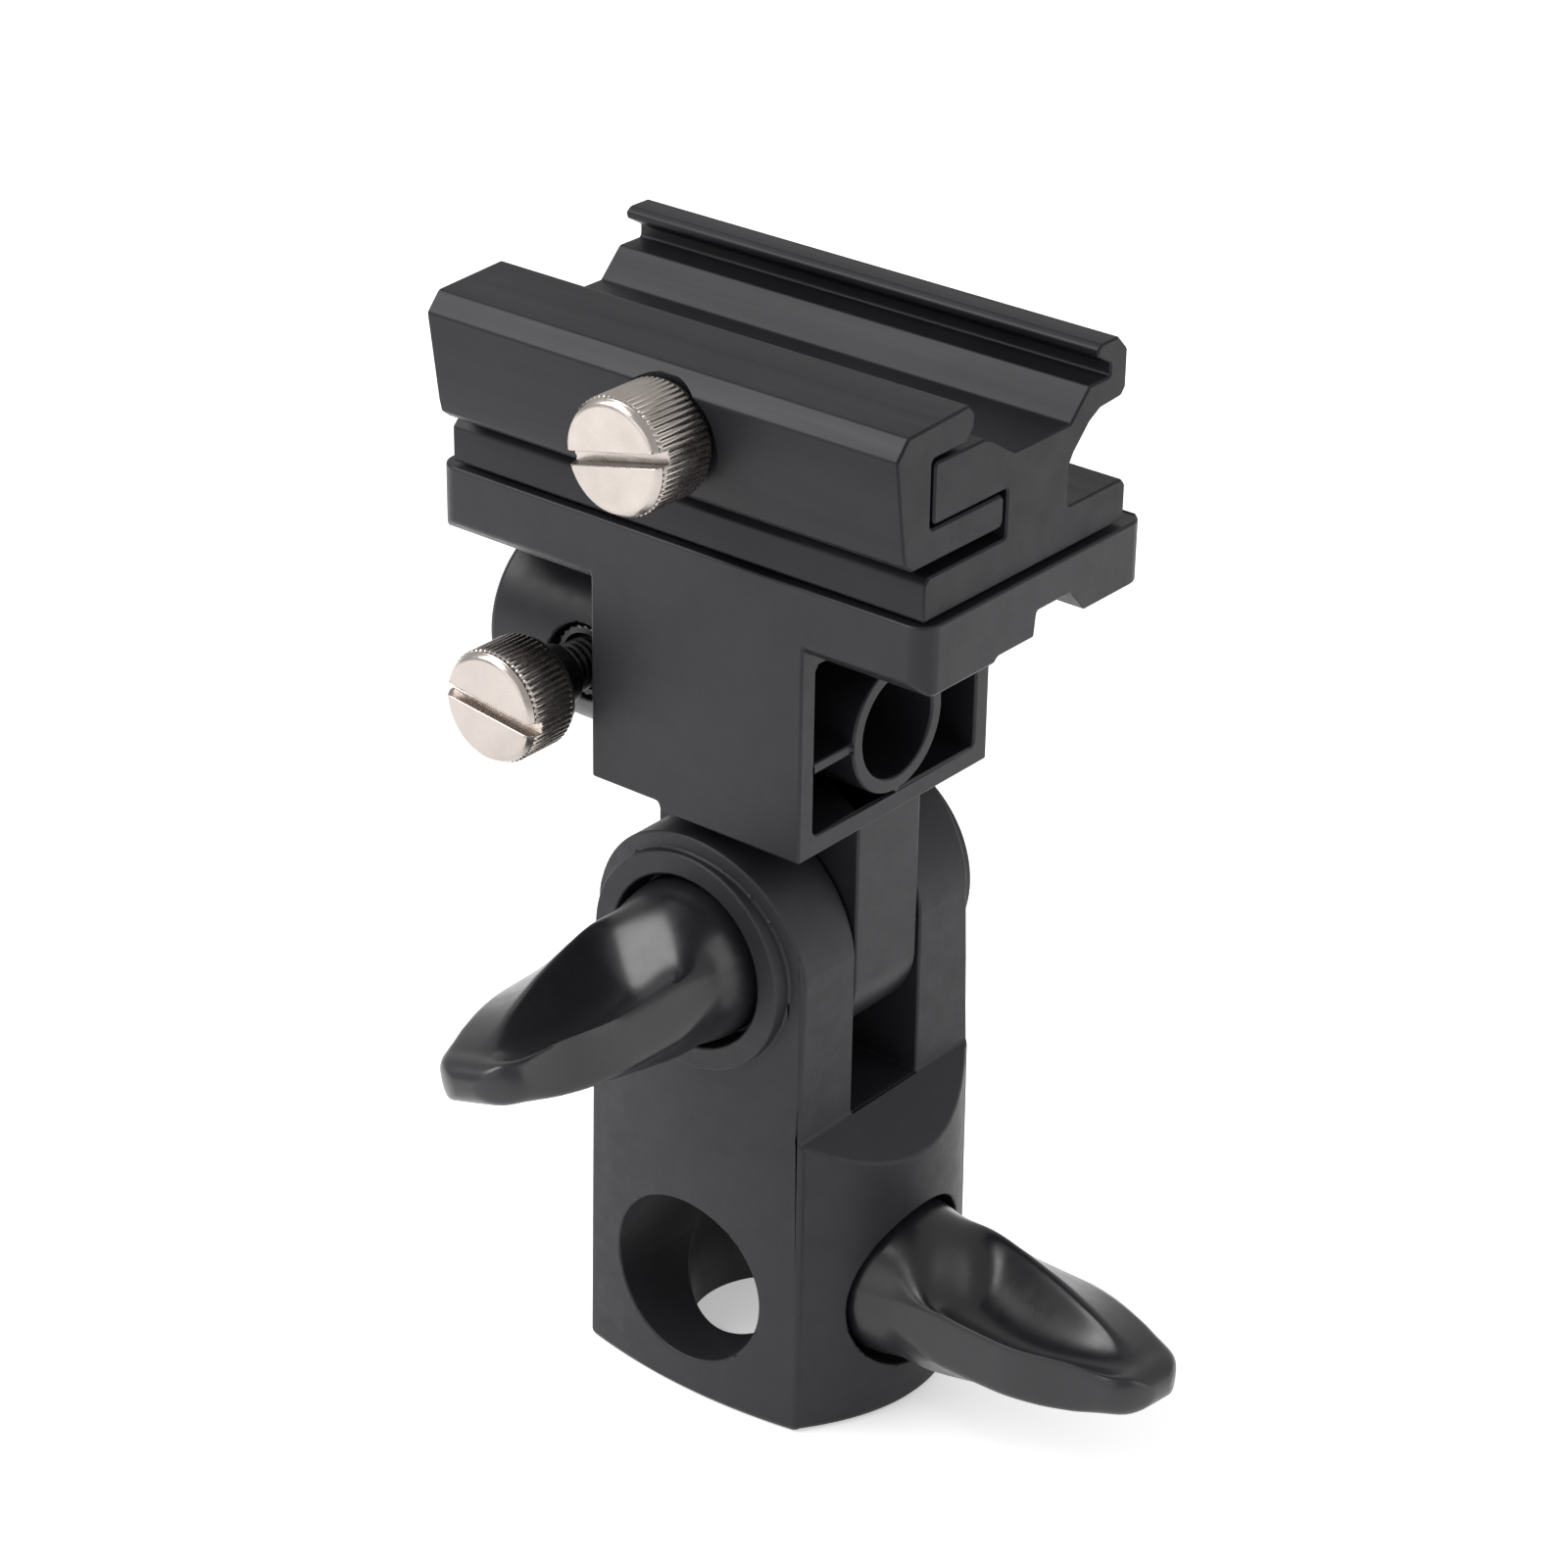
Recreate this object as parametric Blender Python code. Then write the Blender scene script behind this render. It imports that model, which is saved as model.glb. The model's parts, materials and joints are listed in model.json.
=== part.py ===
"""Umbrella swivel bracket: a clamping shoe on an umbrella holder, tilting in a fork above a stand socket.

Lengths are millimetres here and metres in the scene. The working frame has its origin under the tilt axis
near the socket's foot: X runs along the shoe, -Y is the side of the tilt knob, Z is up. ORIGIN then moves the
whole object so that the middle of its bounding box stands over the world origin.
"""

import math

import bmesh
import bpy
from mathutils import Matrix

MM = 0.001
GAP = 0.3

# Stand socket and fork
FOOT_Z = -0.6
BODY_HALVES = ((FOOT_Z, 12.2, 12.3), (0.0, 12.6, 12.7), (30.2, 12.4, 12.5), (45.3, 12.0, 12.0), (60.0, 12.0, 12.0))
FORK_FRONT = 12.0
SIDE_BULGE = 1.2
FRONT_BULGE = 4.4
BODY_CORNER = 0.6
LEDGE_TOP = 30.2
LEDGE_DROP = 4.0
STUD_RADIUS = 8.3
STUD_DEPTH = 25.5
CROSS_Z = 11.7
SLOT_HALF = 4.75
SLOT_FLOOR = 30.2
PIVOT_Z = 45.3
EAR_RADIUS = 12.05
DISC_RADIUS = 10.5
DISC_NEAR_Y = -14.0
DISC_FAR_Y = 14.4
RECESS_RADIUS = 8.3
TILT_RECESS_Y = -10.4
LOCK_RECESS_X = 11.2
PIVOT_RADIUS = 3.3

# Wing knobs
KNOB_LENGTH = 31.4
COLLAR_RADIUS = 7.0
HUB_FLARE = 0.7
PADDLE_HALF_WIDTH = 7.1
PADDLE_TIP_HALF = 4.9
PADDLE_EDGE = 2.75
CREST_HEIGHT = 6.2
SCOOP_START = 4.5
SCOOP_END = 29.2
SCOOP_DEPTH = 3.0
RIDGE_START = -0.55
RIDGE_END = 0.1
NEAR_RIM_DIP = 0.6
FAR_RIM_RISE = 0.35
KNOB_BORE = 3.2
KNOB_BORE_DEPTH = 8.2
LOCK_KNOB_ROLL = -8.0
TILT_KNOB_ROLL = -16.0
LOCK_KNOB_X = 12.5
TILT_KNOB_Y = -11.2
NUT_RADIUS = 4.6
NUT_DEPTH = 6.0

# Umbrella holder
FLANGE_X = (-29.1, 25.2)
FLANGE_Y = (-13.6, 17.8)
FLANGE_Z = (79.15, 85.05)
FLANGE_CORNER = 2.0
NEAR_RIM_DROP = 0.45
GROOVE_Y = (1.7, 9.0)
GROOVE_DEPTH = 2.3
BOX_X = (-11.1, 12.4)
BOX_Y = (-13.6, 13.3)
BOX_FLOOR = 59.1
BOX_STEP_X = -3.5
BOX_STEP = 0.8
BOX_WALL = 1.95
CAVITY_BACK_X = -7.5
CAVITY_TOP = 77.2
TUBE_Z = 67.4
TUBE_BORE = 4.9
TUBE_OUTER = 6.3
RIB_HALF = 0.55
BOSS_X = -27.6
BOSS_RADIUS = 9.0
TANG_HALF = 4.45
TANG_X = (-11.1, 11.8)
TANG_ROUND_Z = 43.0
TANG_BOTTOM = 34.3
DISC_POCKET_RADIUS = 9.0
DISC_POCKET_DEPTH = 0.9
SCREW_X = -16.7
HEAD_RADIUS = 5.3

# Shoe
RAIL_X = (-27.6, 24.5)
JAW_X = (-26.6, 24.4)
JAW_SCREW_X = 0.0
JAW_SCREW_Z = 96.4
SHOE_SCREW_X = (16.0, -16.0)
SHOE_SCREW_Y = 2.4
FLOOR_Z = 96.8

RAIL_OUTLINE = (
    (-13.1, 85.35), (15.2, 85.35), (15.2, 88.7), (14.6, 89.3), (6.7, 89.3), (6.7, 93.0), (7.3, 94.0),
    (8.3, 95.0), (9.4, 96.1), (10.9, 96.9), (13.9, 97.1), (14.5, 97.8), (14.5, 101.3), (13.1, 102.7),
    (10.7, 102.7), (10.1, 102.3), (10.2, 101.7), (12.1, 100.6), (12.1, 99.4), (9.2, 99.4),
    (6.6, FLOOR_Z), (-1.2, FLOOR_Z), (-4.4, 98.8), (-5.4, 99.2), (-11.8, 99.2), (-12.1, 98.9),
    (-12.1, 94.1), (-11.8, 93.75), (-2.0, 93.75), (-2.0, 89.3), (-12.5, 89.3), (-13.1, 88.7),
)
JAW_OUTLINE = (
    (-14.6, 90.4), (-2.8, 90.4), (-2.35, 90.9), (-2.35, 93.0), (-2.7, 93.4), (-12.4, 93.4),
    (-12.4, 99.55), (-7.9, 99.6), (-6.9, 100.7), (-6.8, 101.9), (-7.6, 102.8), (-15.6, 102.4),
    (-17.1, 100.7), (-15.9, 92.4), (-15.6, 91.2),
)

# Middle of the bounding box, from the flange, the two knob tips and the far rim.
ORIGIN = (
    (LOCK_KNOB_X + KNOB_LENGTH + FLANGE_X[0]) / 2,
    (TILT_KNOB_Y - KNOB_LENGTH + FLANGE_Y[1]) / 2,
    FOOT_Z,
)

for old in list(bpy.data.objects):
    bpy.data.objects.remove(old, do_unlink=True)

bracket = bpy.data.collections.new("umbrella_swivel_bracket")
cutters = bpy.data.collections.new("cutters")
bpy.context.scene.collection.children.link(bracket)
bpy.context.scene.collection.children.link(cutters)


def material(name, colour, metallic, roughness):
    made = bpy.data.materials.new(name)
    made.use_nodes = True
    shader = made.node_tree.nodes["Principled BSDF"]
    shader.inputs["Base Color"].default_value = (*colour, 1)
    shader.inputs["Metallic"].default_value = metallic
    shader.inputs["Roughness"].default_value = roughness
    return made


def solid(name, bm, origin, smooth=False):
    """Turns a bmesh built in millimetres of the working frame into an object with its origin at a point."""
    bmesh.ops.recalc_face_normals(bm, faces=bm.faces)
    bm.transform(Matrix.Scale(MM, 4) @ Matrix.Translation([-c for c in origin]))
    mesh = bpy.data.meshes.new(name)
    bm.to_mesh(mesh)
    bm.free()
    for polygon in mesh.polygons:
        polygon.use_smooth = smooth
    made = bpy.data.objects.new(name, mesh)
    made.location = [(c - shift) * MM for c, shift in zip(origin, ORIGIN)]
    return made


def show(made, colour, metallic=0.0, roughness=0.5):
    """Puts an object into the model with a material of its own."""
    made.data.materials.append(material(made.name, colour, metallic, roughness))
    bracket.objects.link(made)
    return made


def helper(made):
    """Puts an object among the cutters, out of the render."""
    made.hide_render = True
    made.display_type = "WIRE"
    cutters.objects.link(made)
    return made


def boolean(target, operation, tool):
    modifier = target.modifiers.new(tool.name, "BOOLEAN")
    modifier.operation = operation
    modifier.solver = "EXACT"
    modifier.object = helper(tool)
    return target


def cut(target, tool):
    return boolean(target, "DIFFERENCE", tool)


def add(target, tool):
    return boolean(target, "UNION", tool)


def point(axis, along, u, v):
    """A point from its position along an axis and the two other coordinates in their usual order."""
    if axis == "X":
        return (along, u, v)
    if axis == "Y":
        return (u, along, v)
    return (u, v, along)


def loft(rings):
    """A closed body through rings of the same number of points, capped at both ends."""
    bm = bmesh.new()
    made = [[bm.verts.new(p) for p in ring] for ring in rings]
    for low, high in zip(made, made[1:]):
        for i, start in enumerate(low):
            j = (i + 1) % len(low)
            bm.faces.new((start, low[j], high[j], high[i]))
    bm.faces.new(made[0])
    bm.faces.new(made[-1])
    return bm


def prism(name, axis, outline, start, end, origin=(0, 0, 0)):
    rings = [[point(axis, along, u, v) for u, v in outline] for along in (start, end)]
    return solid(name, loft(rings), origin)


def circle(radius, centre=(0, 0), count=48, turn=0.0):
    angles = [2 * math.pi * (i + turn) / count for i in range(count)]
    return [(centre[0] + radius * math.cos(a), centre[1] + radius * math.sin(a)) for a in angles]


def turned(name, axis, centre, steps, origin=(0, 0, 0), count=48):
    """A round body given as (position along the axis, radius) steps."""
    rings = [[point(axis, along, u, v) for u, v in circle(r, centre, count)] for along, r in steps]
    return solid(name, loft(rings), origin, smooth=True)


def cylinder(name, axis, centre, radius, start, end, origin=(0, 0, 0), count=48):
    return turned(name, axis, centre, ((start, radius), (end, radius)), origin, count)


def rounded_rectangle(x, y, radius, steps=5):
    corners = ((x[1], y[1], 0), (x[0], y[1], 90), (x[0], y[0], 180), (x[1], y[0], 270))
    outline = []
    for cx, cy, start in corners:
        mx = cx - math.copysign(radius, cx - sum(x) / 2)
        my = cy - math.copysign(radius, cy - sum(y) / 2)
        for i in range(steps + 1):
            a = math.radians(start + 90 * i / steps)
            outline.append((mx + radius * math.cos(a), my + radius * math.sin(a)))
    return outline


def bowed(u, reach, bulge):
    """How far a bowed face stands out at a position u across it."""
    return bulge * (1 - (u / reach) ** 2)


def socket_outline(x, y):
    """The socket seen from above: flat at the back, a little bowed at the sides, full at the front."""
    inner_x, inner_y = x - BODY_CORNER, y - BODY_CORNER
    outline = []
    for i in range(17):
        v = -inner_y + 2 * inner_y * i / 16
        outline.append((x + bowed(v, inner_y, FRONT_BULGE), v))
    for i in range(9):
        u = inner_x - 2 * inner_x * i / 8
        outline.append((u, y + bowed(u, inner_x, SIDE_BULGE)))
    outline.append((-x, inner_y))
    outline.append((-x, -inner_y))
    for i in range(9):
        u = -inner_x + 2 * inner_x * i / 8
        outline.append((u, -y - bowed(u, inner_x, SIDE_BULGE)))
    return outline


def arch_cutter():
    """What lies outside the round ear tops."""
    arc = [math.radians(a) for a in range(180, -1, -10)]
    inside = [(EAR_RADIUS * math.cos(a), PIVOT_Z + EAR_RADIUS * math.sin(a)) for a in arc]
    outline = [(-14, PIVOT_Z - 0.01), *inside, (14, PIVOT_Z - 0.01), (14, 62), (-14, 62)]
    return prism("arch_cutter", "Y", outline, -20, 20)


def front_cutter():
    """What lies in front of the fork's flat face, above the sloping ledge."""
    step = 8.0
    slope = LEDGE_TOP - LEDGE_DROP * step / FRONT_BULGE
    outline = [(FORK_FRONT, LEDGE_TOP), (FORK_FRONT + step, slope), (FORK_FRONT + step, 65), (FORK_FRONT, 65)]
    return prism("front_cutter", "Y", outline, -20, 20)


def build_stand_body():
    rings = [[(u, v, z) for u, v in socket_outline(x, y)] for z, x, y in BODY_HALVES]
    body = solid("stand_body", loft(rings), (0, 0, 0))
    pivot = (0, PIVOT_Z)
    cut(body, front_cutter())
    cut(body, arch_cutter())
    add(body, cylinder("near_disc", "Y", pivot, DISC_RADIUS, DISC_NEAR_Y, -6.0))
    add(body, cylinder("far_disc", "Y", pivot, DISC_RADIUS, 6.0, DISC_FAR_Y))
    slot = [(-20, SLOT_FLOOR), (20, SLOT_FLOOR), (20, 70), (-20, 70)]
    cut(body, prism("fork_slot", "Y", slot, -SLOT_HALF, SLOT_HALF))
    cut(body, cylinder("stud_bore", "Z", (0, 0), STUD_RADIUS, -1, STUD_DEPTH))
    cut(body, cylinder("cross_bore", "Y", (0, CROSS_Z), STUD_RADIUS + 0.05, -20, 20))
    cut(body, cylinder("lock_recess", "X", (0, CROSS_Z), RECESS_RADIUS, LOCK_RECESS_X, 20))
    cut(body, cylinder("bush_seat", "X", (0, CROSS_Z), 4.9, 5.0, 12, count=32))
    cut(body, cylinder("tilt_recess", "Y", pivot, RECESS_RADIUS, -20, TILT_RECESS_Y))
    cut(body, cylinder("pivot_bore", "Y", pivot, PIVOT_RADIUS, -20, 20, count=32))
    cut(body, prism("hex_pocket", "Y", circle(6.1, pivot, 6), 9.8, 20))
    return show(body, (0.055, 0.055, 0.062), roughness=0.55)


def smooth(value, start, end):
    """0 before start, 1 after end, and an even curve between."""
    share = min(max((value - start) / (end - start), 0.0), 1.0)
    return share * share * (3 - 2 * share)


def knob_section(along, count):
    """Half of a wing knob's cross-section, from one edge over the top to the other.

    The collar is round. Further out a ridge crosses each face slantwise to the tip, with a deep thumb scoop
    on one side of it and a flatter facet on the other. The other face is the same, turned half round.
    """
    width = COLLAR_RADIUS + (PADDLE_HALF_WIDTH - COLLAR_RADIUS) * smooth(along, 7.5, 14.0)
    width -= (PADDLE_HALF_WIDTH - PADDLE_TIP_HALF) * smooth(along, 18.0, 28.5)
    width -= 2.1 * max(0.0, (along - 28.0) / (KNOB_LENGTH - 28.0)) ** 2
    tip = PADDLE_EDGE - 0.85 * smooth(along, 22.0, KNOB_LENGTH)
    middle = math.sin(math.pi * min(max((along - 6.0) / 24.0, 0.0), 1.0)) ** 0.7
    near, far = tip - NEAR_RIM_DIP * middle, tip + FAR_RIM_RISE * middle
    out = min(max((along - 8.0) / 20.5, 0.0), 1.0)
    ridge = RIDGE_START + (RIDGE_END - RIDGE_START) * out
    crest = tip + (CREST_HEIGHT - tip) * (1 - out ** 1.8)
    reach = min(max((along - SCOOP_START) / (SCOOP_END - SCOOP_START), 0.0), 1.0)
    scoop = near - (near + SCOOP_DEPTH) * math.sin(math.pi * reach)
    share = smooth(along, SCOOP_START, SCOOP_START + 8.0)
    radius = COLLAR_RADIUS + HUB_FLARE * (1 - smooth(along, 1.5, 6.5)) - 0.4 * (along < 0.01)
    turn = round((count - 1) * 0.6)
    points = []
    for i in range(count):
        if i < turn:
            t = 1 - i / turn
            across = ridge + (1 - ridge) * t
            height = crest * (1 - t) ** 2 + 2 * scoop * t * (1 - t) + near * t * t
        else:
            t = (i - turn) / (count - 1 - turn)
            across = ridge - (1 + ridge) * t
            height = crest + (far - crest) * t - 0.6 * middle * t * (1 - t)
        angle = math.acos(max(min(across, 0.99), -0.99))
        a, b = radius * math.cos(angle), radius * math.sin(angle)
        points.append((a + share * (width * across - a), b + share * (height - b)))
    return points


def knob(name, place, origin, count=15):
    """A wing knob. `place` turns (along, across, up) of the knob into the working frame."""
    stations = (0.0, 0.5, 2.5, SCOOP_START, 6.4, 8.3, 9.6, 11.0, 12.5, 14.0, 16.0, 18.5, 21.2, 23.8, 26.0, 27.6,
                29.0, 30.4, KNOB_LENGTH)
    rings = []
    for along in stations:
        half = knob_section(along, count)
        ring = half + [(-a, -b) for a, b in half]
        rings.append([place(along, a, b) for a, b in ring])
    return solid(name, loft(rings), origin, smooth=True)


def build_lock_knob():
    origin = (LOCK_KNOB_X, 0, CROSS_Z)
    roll = math.radians(LOCK_KNOB_ROLL)

    def place(along, a, b):
        return (origin[0] + along, -a * math.cos(roll) - b * math.sin(roll),
                origin[2] - a * math.sin(roll) + b * math.cos(roll))

    made = knob("stand_lock_knob", place, origin)
    end = LOCK_KNOB_X + KNOB_BORE_DEPTH
    cut(made, cylinder("lock_knob_bore", "X", (0, CROSS_Z), KNOB_BORE, 10, end, count=24))
    return show(made, (0.045, 0.045, 0.05), roughness=0.3)


def build_tilt_knob():
    origin = (0, TILT_KNOB_Y, PIVOT_Z)
    roll = math.radians(TILT_KNOB_ROLL)

    def place(along, a, b):
        return (a * math.cos(roll) + b * math.sin(roll), origin[1] - along,
                origin[2] - a * math.sin(roll) + b * math.cos(roll))

    made = knob("tilt_knob", place, origin)
    start = TILT_KNOB_Y - KNOB_BORE_DEPTH
    pivot = (0, PIVOT_Z)
    cut(made, cylinder("tilt_knob_bore", "Y", pivot, KNOB_BORE, start, -10, count=24))
    seat = circle(NUT_RADIUS + GAP, pivot, 24)
    cut(made, prism("nut_seat", "Y", seat, TILT_KNOB_Y - NUT_DEPTH - GAP, -10))
    return show(made, (0.045, 0.045, 0.05), roughness=0.3)


def fluted(radius, depth, teeth, centre):
    """The outline of a knurled or splined round."""
    outline = []
    for i in range(2 * teeth):
        a = math.pi * (i + 0.5) / teeth
        r = radius - depth * (i % 2)
        outline.append((centre[0] + r * math.cos(a), centre[1] + r * math.sin(a)))
    return outline


def sleeve(name, axis, outline, bore, centre, start, end, colour):
    """A short round insert with a hole through it."""
    made = prism(name, axis, outline, start, end)
    cut(made, cylinder(name + "_bore", axis, centre, bore, start - 5, end + 5, count=24))
    return show(made, colour, 1.0, 0.35)


def build_stand_lock():
    centre = (0, CROSS_Z)
    bush = turned("stand_lock_bush", "X", centre,
                  ((9.1, 4.6), (11.5, 4.6), (11.5, 7.4), (12.2, 7.4)), count=32)
    cut(bush, cylinder("lock_bush_bore", "X", centre, 3.25, 5, 20, count=24))
    show(bush, (0.55, 0.42, 0.18), 1.0, 0.35)
    stud = turned("stand_lock_stud", "X", centre,
                  ((7.0, 2.2), (7.6, 2.9), (20.3, 2.9)), (LOCK_KNOB_X, 0, CROSS_Z), 24)
    show(stud, (0.5, 0.5, 0.52), 1.0, 0.3)


def build_tilt_clamp():
    pivot = (0, PIVOT_Z)
    bolt = prism("tilt_bolt", "Y", circle(5.75, pivot, 6), 10.1, 14.0)
    add(bolt, turned("tilt_shank", "Y", pivot, ((-19.0, 2.3), (-18.4, 2.85), (11.0, 2.85)), count=24))
    show(bolt, (0.5, 0.5, 0.52), 1.0, 0.35)
    sleeve("tilt_washer", "Y", circle(5.9, pivot, 32), 3.2, pivot, -10.95, -10.65, (0.55, 0.55, 0.56))
    outline = fluted(NUT_RADIUS, 0.35, 12, pivot)
    start = TILT_KNOB_Y - NUT_DEPTH
    sleeve("tilt_knob_nut", "Y", outline, 3.15, pivot, start, TILT_KNOB_Y - 0.1, (0.55, 0.42, 0.18))
    for name, start in (("friction_disc_near", -4.55), ("friction_disc_far", 3.85)):
        disc = prism(name, "Y", circle(8.6, pivot, 32), start, start + 0.7)
        cut(disc, cylinder(name + "_bore", "Y", pivot, 3.4, start - 1, start + 2, count=24))
        show(disc, (0.6, 0.58, 0.5), roughness=0.6)


def holder_outline():
    """Flange seen along the shoe: the underside has a groove and a slightly deeper rim on the near side."""
    low, high = FLANGE_Z
    return (
        (FLANGE_Y[0], high), (FLANGE_Y[0], low + 0.6), (FLANGE_Y[0] + 1.0, low - NEAR_RIM_DROP),
        (-3.9, low - NEAR_RIM_DROP), (-3.4, low), (GROOVE_Y[0], low), (GROOVE_Y[0] + 0.3, low + GROOVE_DEPTH),
        (GROOVE_Y[1] - 2.2, low + GROOVE_DEPTH), (GROOVE_Y[1], low), (FLANGE_Y[1] - 0.8, low),
        (FLANGE_Y[1], low + 0.7), (FLANGE_Y[1], high - 0.3), (FLANGE_Y[1] - 0.4, high),
    )


def box_outline():
    """The box seen from the near side, with the small step along its lower edge."""
    top = FLANGE_Z[0] + 2
    return (
        (BOX_X[0], top), (BOX_X[0], BOX_FLOOR + BOX_STEP), (BOX_STEP_X, BOX_FLOOR + BOX_STEP),
        (BOX_STEP_X + 0.3, BOX_FLOOR), (BOX_X[1], BOX_FLOOR), (BOX_X[1], top),
    )


def tang_outline():
    outline = [(TANG_X[1], 60.6)]
    reach_z = TANG_ROUND_Z - TANG_BOTTOM
    middle = sum(TANG_X) / 2
    reach_x = (TANG_X[1] - TANG_X[0]) / 2
    for step in range(0, 181, 10):
        a = math.radians(step)
        outline.append((middle + reach_x * math.cos(a), TANG_ROUND_Z - reach_z * math.sin(a)))
    outline.append((TANG_X[0], 60.6))
    return outline


def tang_sides():
    """The tang seen along the shoe, its lower corners rounded."""
    half = TANG_HALF
    return (
        (half, 61.0), (-half, 61.0), (-half, TANG_BOTTOM + 3.0), (-half + 1.2, TANG_BOTTOM + 0.9),
        (-half + 3.0, TANG_BOTTOM - 0.2), (half - 3.0, TANG_BOTTOM - 0.2), (half - 1.2, TANG_BOTTOM + 0.9),
        (half, TANG_BOTTOM + 3.0),
    )


def build_holder_box(holder):
    tube = (0, TUBE_Z)
    box = prism("holder_box", "Y", box_outline(), *BOX_Y)
    add(holder, box)
    near, far = BOX_Y[0] + BOX_WALL, BOX_Y[1] - BOX_WALL
    hollow = [(near, BOX_FLOOR + 2.0), (far, BOX_FLOOR + 2.0), (far, CAVITY_TOP), (near, CAVITY_TOP)]
    cut(holder, prism("box_cavity", "X", hollow, CAVITY_BACK_X, 20))
    add(holder, cylinder("tube_wall", "X", tube, TUBE_OUTER, CAVITY_BACK_X - 1, BOX_X[1], count=40))
    rib = [(near - 1, TUBE_Z - RIB_HALF), (-5.5, TUBE_Z - RIB_HALF), (-5.5, TUBE_Z + RIB_HALF),
           (near - 1, TUBE_Z + RIB_HALF)]
    add(holder, prism("tube_rib", "X", rib, CAVITY_BACK_X - 1, BOX_X[1] - 0.2))


def build_holder():
    tube = (0, TUBE_Z)
    pivot = (0, PIVOT_Z)
    holder = prism("umbrella_holder", "X", holder_outline(), *FLANGE_X, origin=(0, 0, PIVOT_Z))
    plan = rounded_rectangle(FLANGE_X, FLANGE_Y, FLANGE_CORNER)
    boolean(holder, "INTERSECT", prism("flange_plan", "Z", plan, 70, 90))
    build_holder_box(holder)
    boss = turned("tube_boss", "X", tube,
                  ((BOSS_X, BOSS_RADIUS - 0.5), (BOSS_X + 0.5, BOSS_RADIUS), (BOX_X[0] + 1, BOSS_RADIUS)))
    add(holder, boss)
    web = [(-1.5, 75.0), (1.5, 75.0), (1.5, 80.0), (-1.5, 80.0)]
    add(holder, prism("boss_web", "X", web, BOSS_X + 1, BOX_X[0] + 1))
    tang = prism("tang", "Y", tang_outline(), -TANG_HALF, TANG_HALF)
    boolean(tang, "INTERSECT", prism("tang_sides", "X", tang_sides(), -20, 20))
    add(holder, tang)
    cut(holder, cylinder("tube_bore", "X", tube, TUBE_BORE, -30, 20, count=40))
    cut(holder, cylinder("tang_bore", "Y", pivot, PIVOT_RADIUS, -8, 8, count=32))
    pocket = TANG_HALF - DISC_POCKET_DEPTH
    cut(holder, cylinder("near_pocket", "Y", pivot, DISC_POCKET_RADIUS, -8, -pocket, count=40))
    cut(holder, cylinder("far_pocket", "Y", pivot, DISC_POCKET_RADIUS, pocket, 8, count=40))
    cut(holder, cylinder("bush_hole", "Y", (SCREW_X, TUBE_Z), 3.7, -10, -1, count=32))
    for side, x in zip(("front", "rear"), SHOE_SCREW_X):
        centre = (x, SHOE_SCREW_Y)
        cut(holder, cylinder(f"flange_hole_{side}", "Z", centre, 2.3, 70, 90, count=24))
        cut(holder, cylinder(f"head_pocket_{side}", "Z", centre, 3.8, 77.5, 82.2, count=32))
    return show(holder, (0.06, 0.06, 0.066), roughness=0.5)


def thumb_screw(name, centre, face_y, head, neck, shank, tip_y, turn):
    """A knurled, slotted thumb screw along Y with its slotted face on the near side.

    `neck` is the length and radius of a plain collar behind the head.
    """
    back = face_y + head
    origin = (centre[0], back, centre[1])
    knurl = fluted(HEAD_RADIUS, 0.28, 30, centre)
    made = prism(name, "Y", knurl, face_y + 0.7, back - 0.5, origin)
    core = HEAD_RADIUS - 0.33
    steps = ((face_y, core - 0.35), (face_y + 0.45, core), (back, core))
    add(made, turned(name + "_core", "Y", centre, steps, origin))
    length, radius = neck
    steps = ((back - 1, radius), (back + length, radius), (back + length, shank), (tip_y - 0.5, shank),
             (tip_y, shank - 0.5))
    add(made, turned(name + "_shank", "Y", centre, steps, origin, 24))
    c, s = math.cos(math.radians(turn)), math.sin(math.radians(turn))
    corners = ((-7, -0.6), (7, -0.6), (7, 0.6), (-7, 0.6))
    slot = [(centre[0] + u * c - v * s, centre[1] + u * s + v * c) for u, v in corners]
    cut(made, prism(name + "_slot", "Y", slot, face_y - 1, face_y + 1.4, origin))
    return show(made, (0.72, 0.7, 0.68), 1.0, 0.3)


def build_umbrella_lock():
    centre = (SCREW_X, TUBE_Z)
    sleeve("umbrella_lock_bush", "Y", fluted(3.4, 0.25, 12, centre), 2.7, centre, -8.0, -5.1, (0.55, 0.42, 0.18))
    thumb_screw("umbrella_lock_screw", centre, -21.0, 6.1, (0.9, 3.1), 2.35, -5.0, -7)


def build_rail():
    rail = prism("shoe_rail", "X", RAIL_OUTLINE, *RAIL_X)
    for side, x in zip(("front", "rear"), SHOE_SCREW_X):
        cut(rail, cylinder(f"rail_hole_{side}", "Z", (x, SHOE_SCREW_Y), 2.25, 80, 93.4, count=24))
    centre = (JAW_SCREW_X, JAW_SCREW_Z)
    cut(rail, cylinder("jaw_thread", "Y", centre, 2.25, -14, -5.2, count=24))
    return show(rail, (0.05, 0.05, 0.056), 0.6, 0.4)


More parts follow.
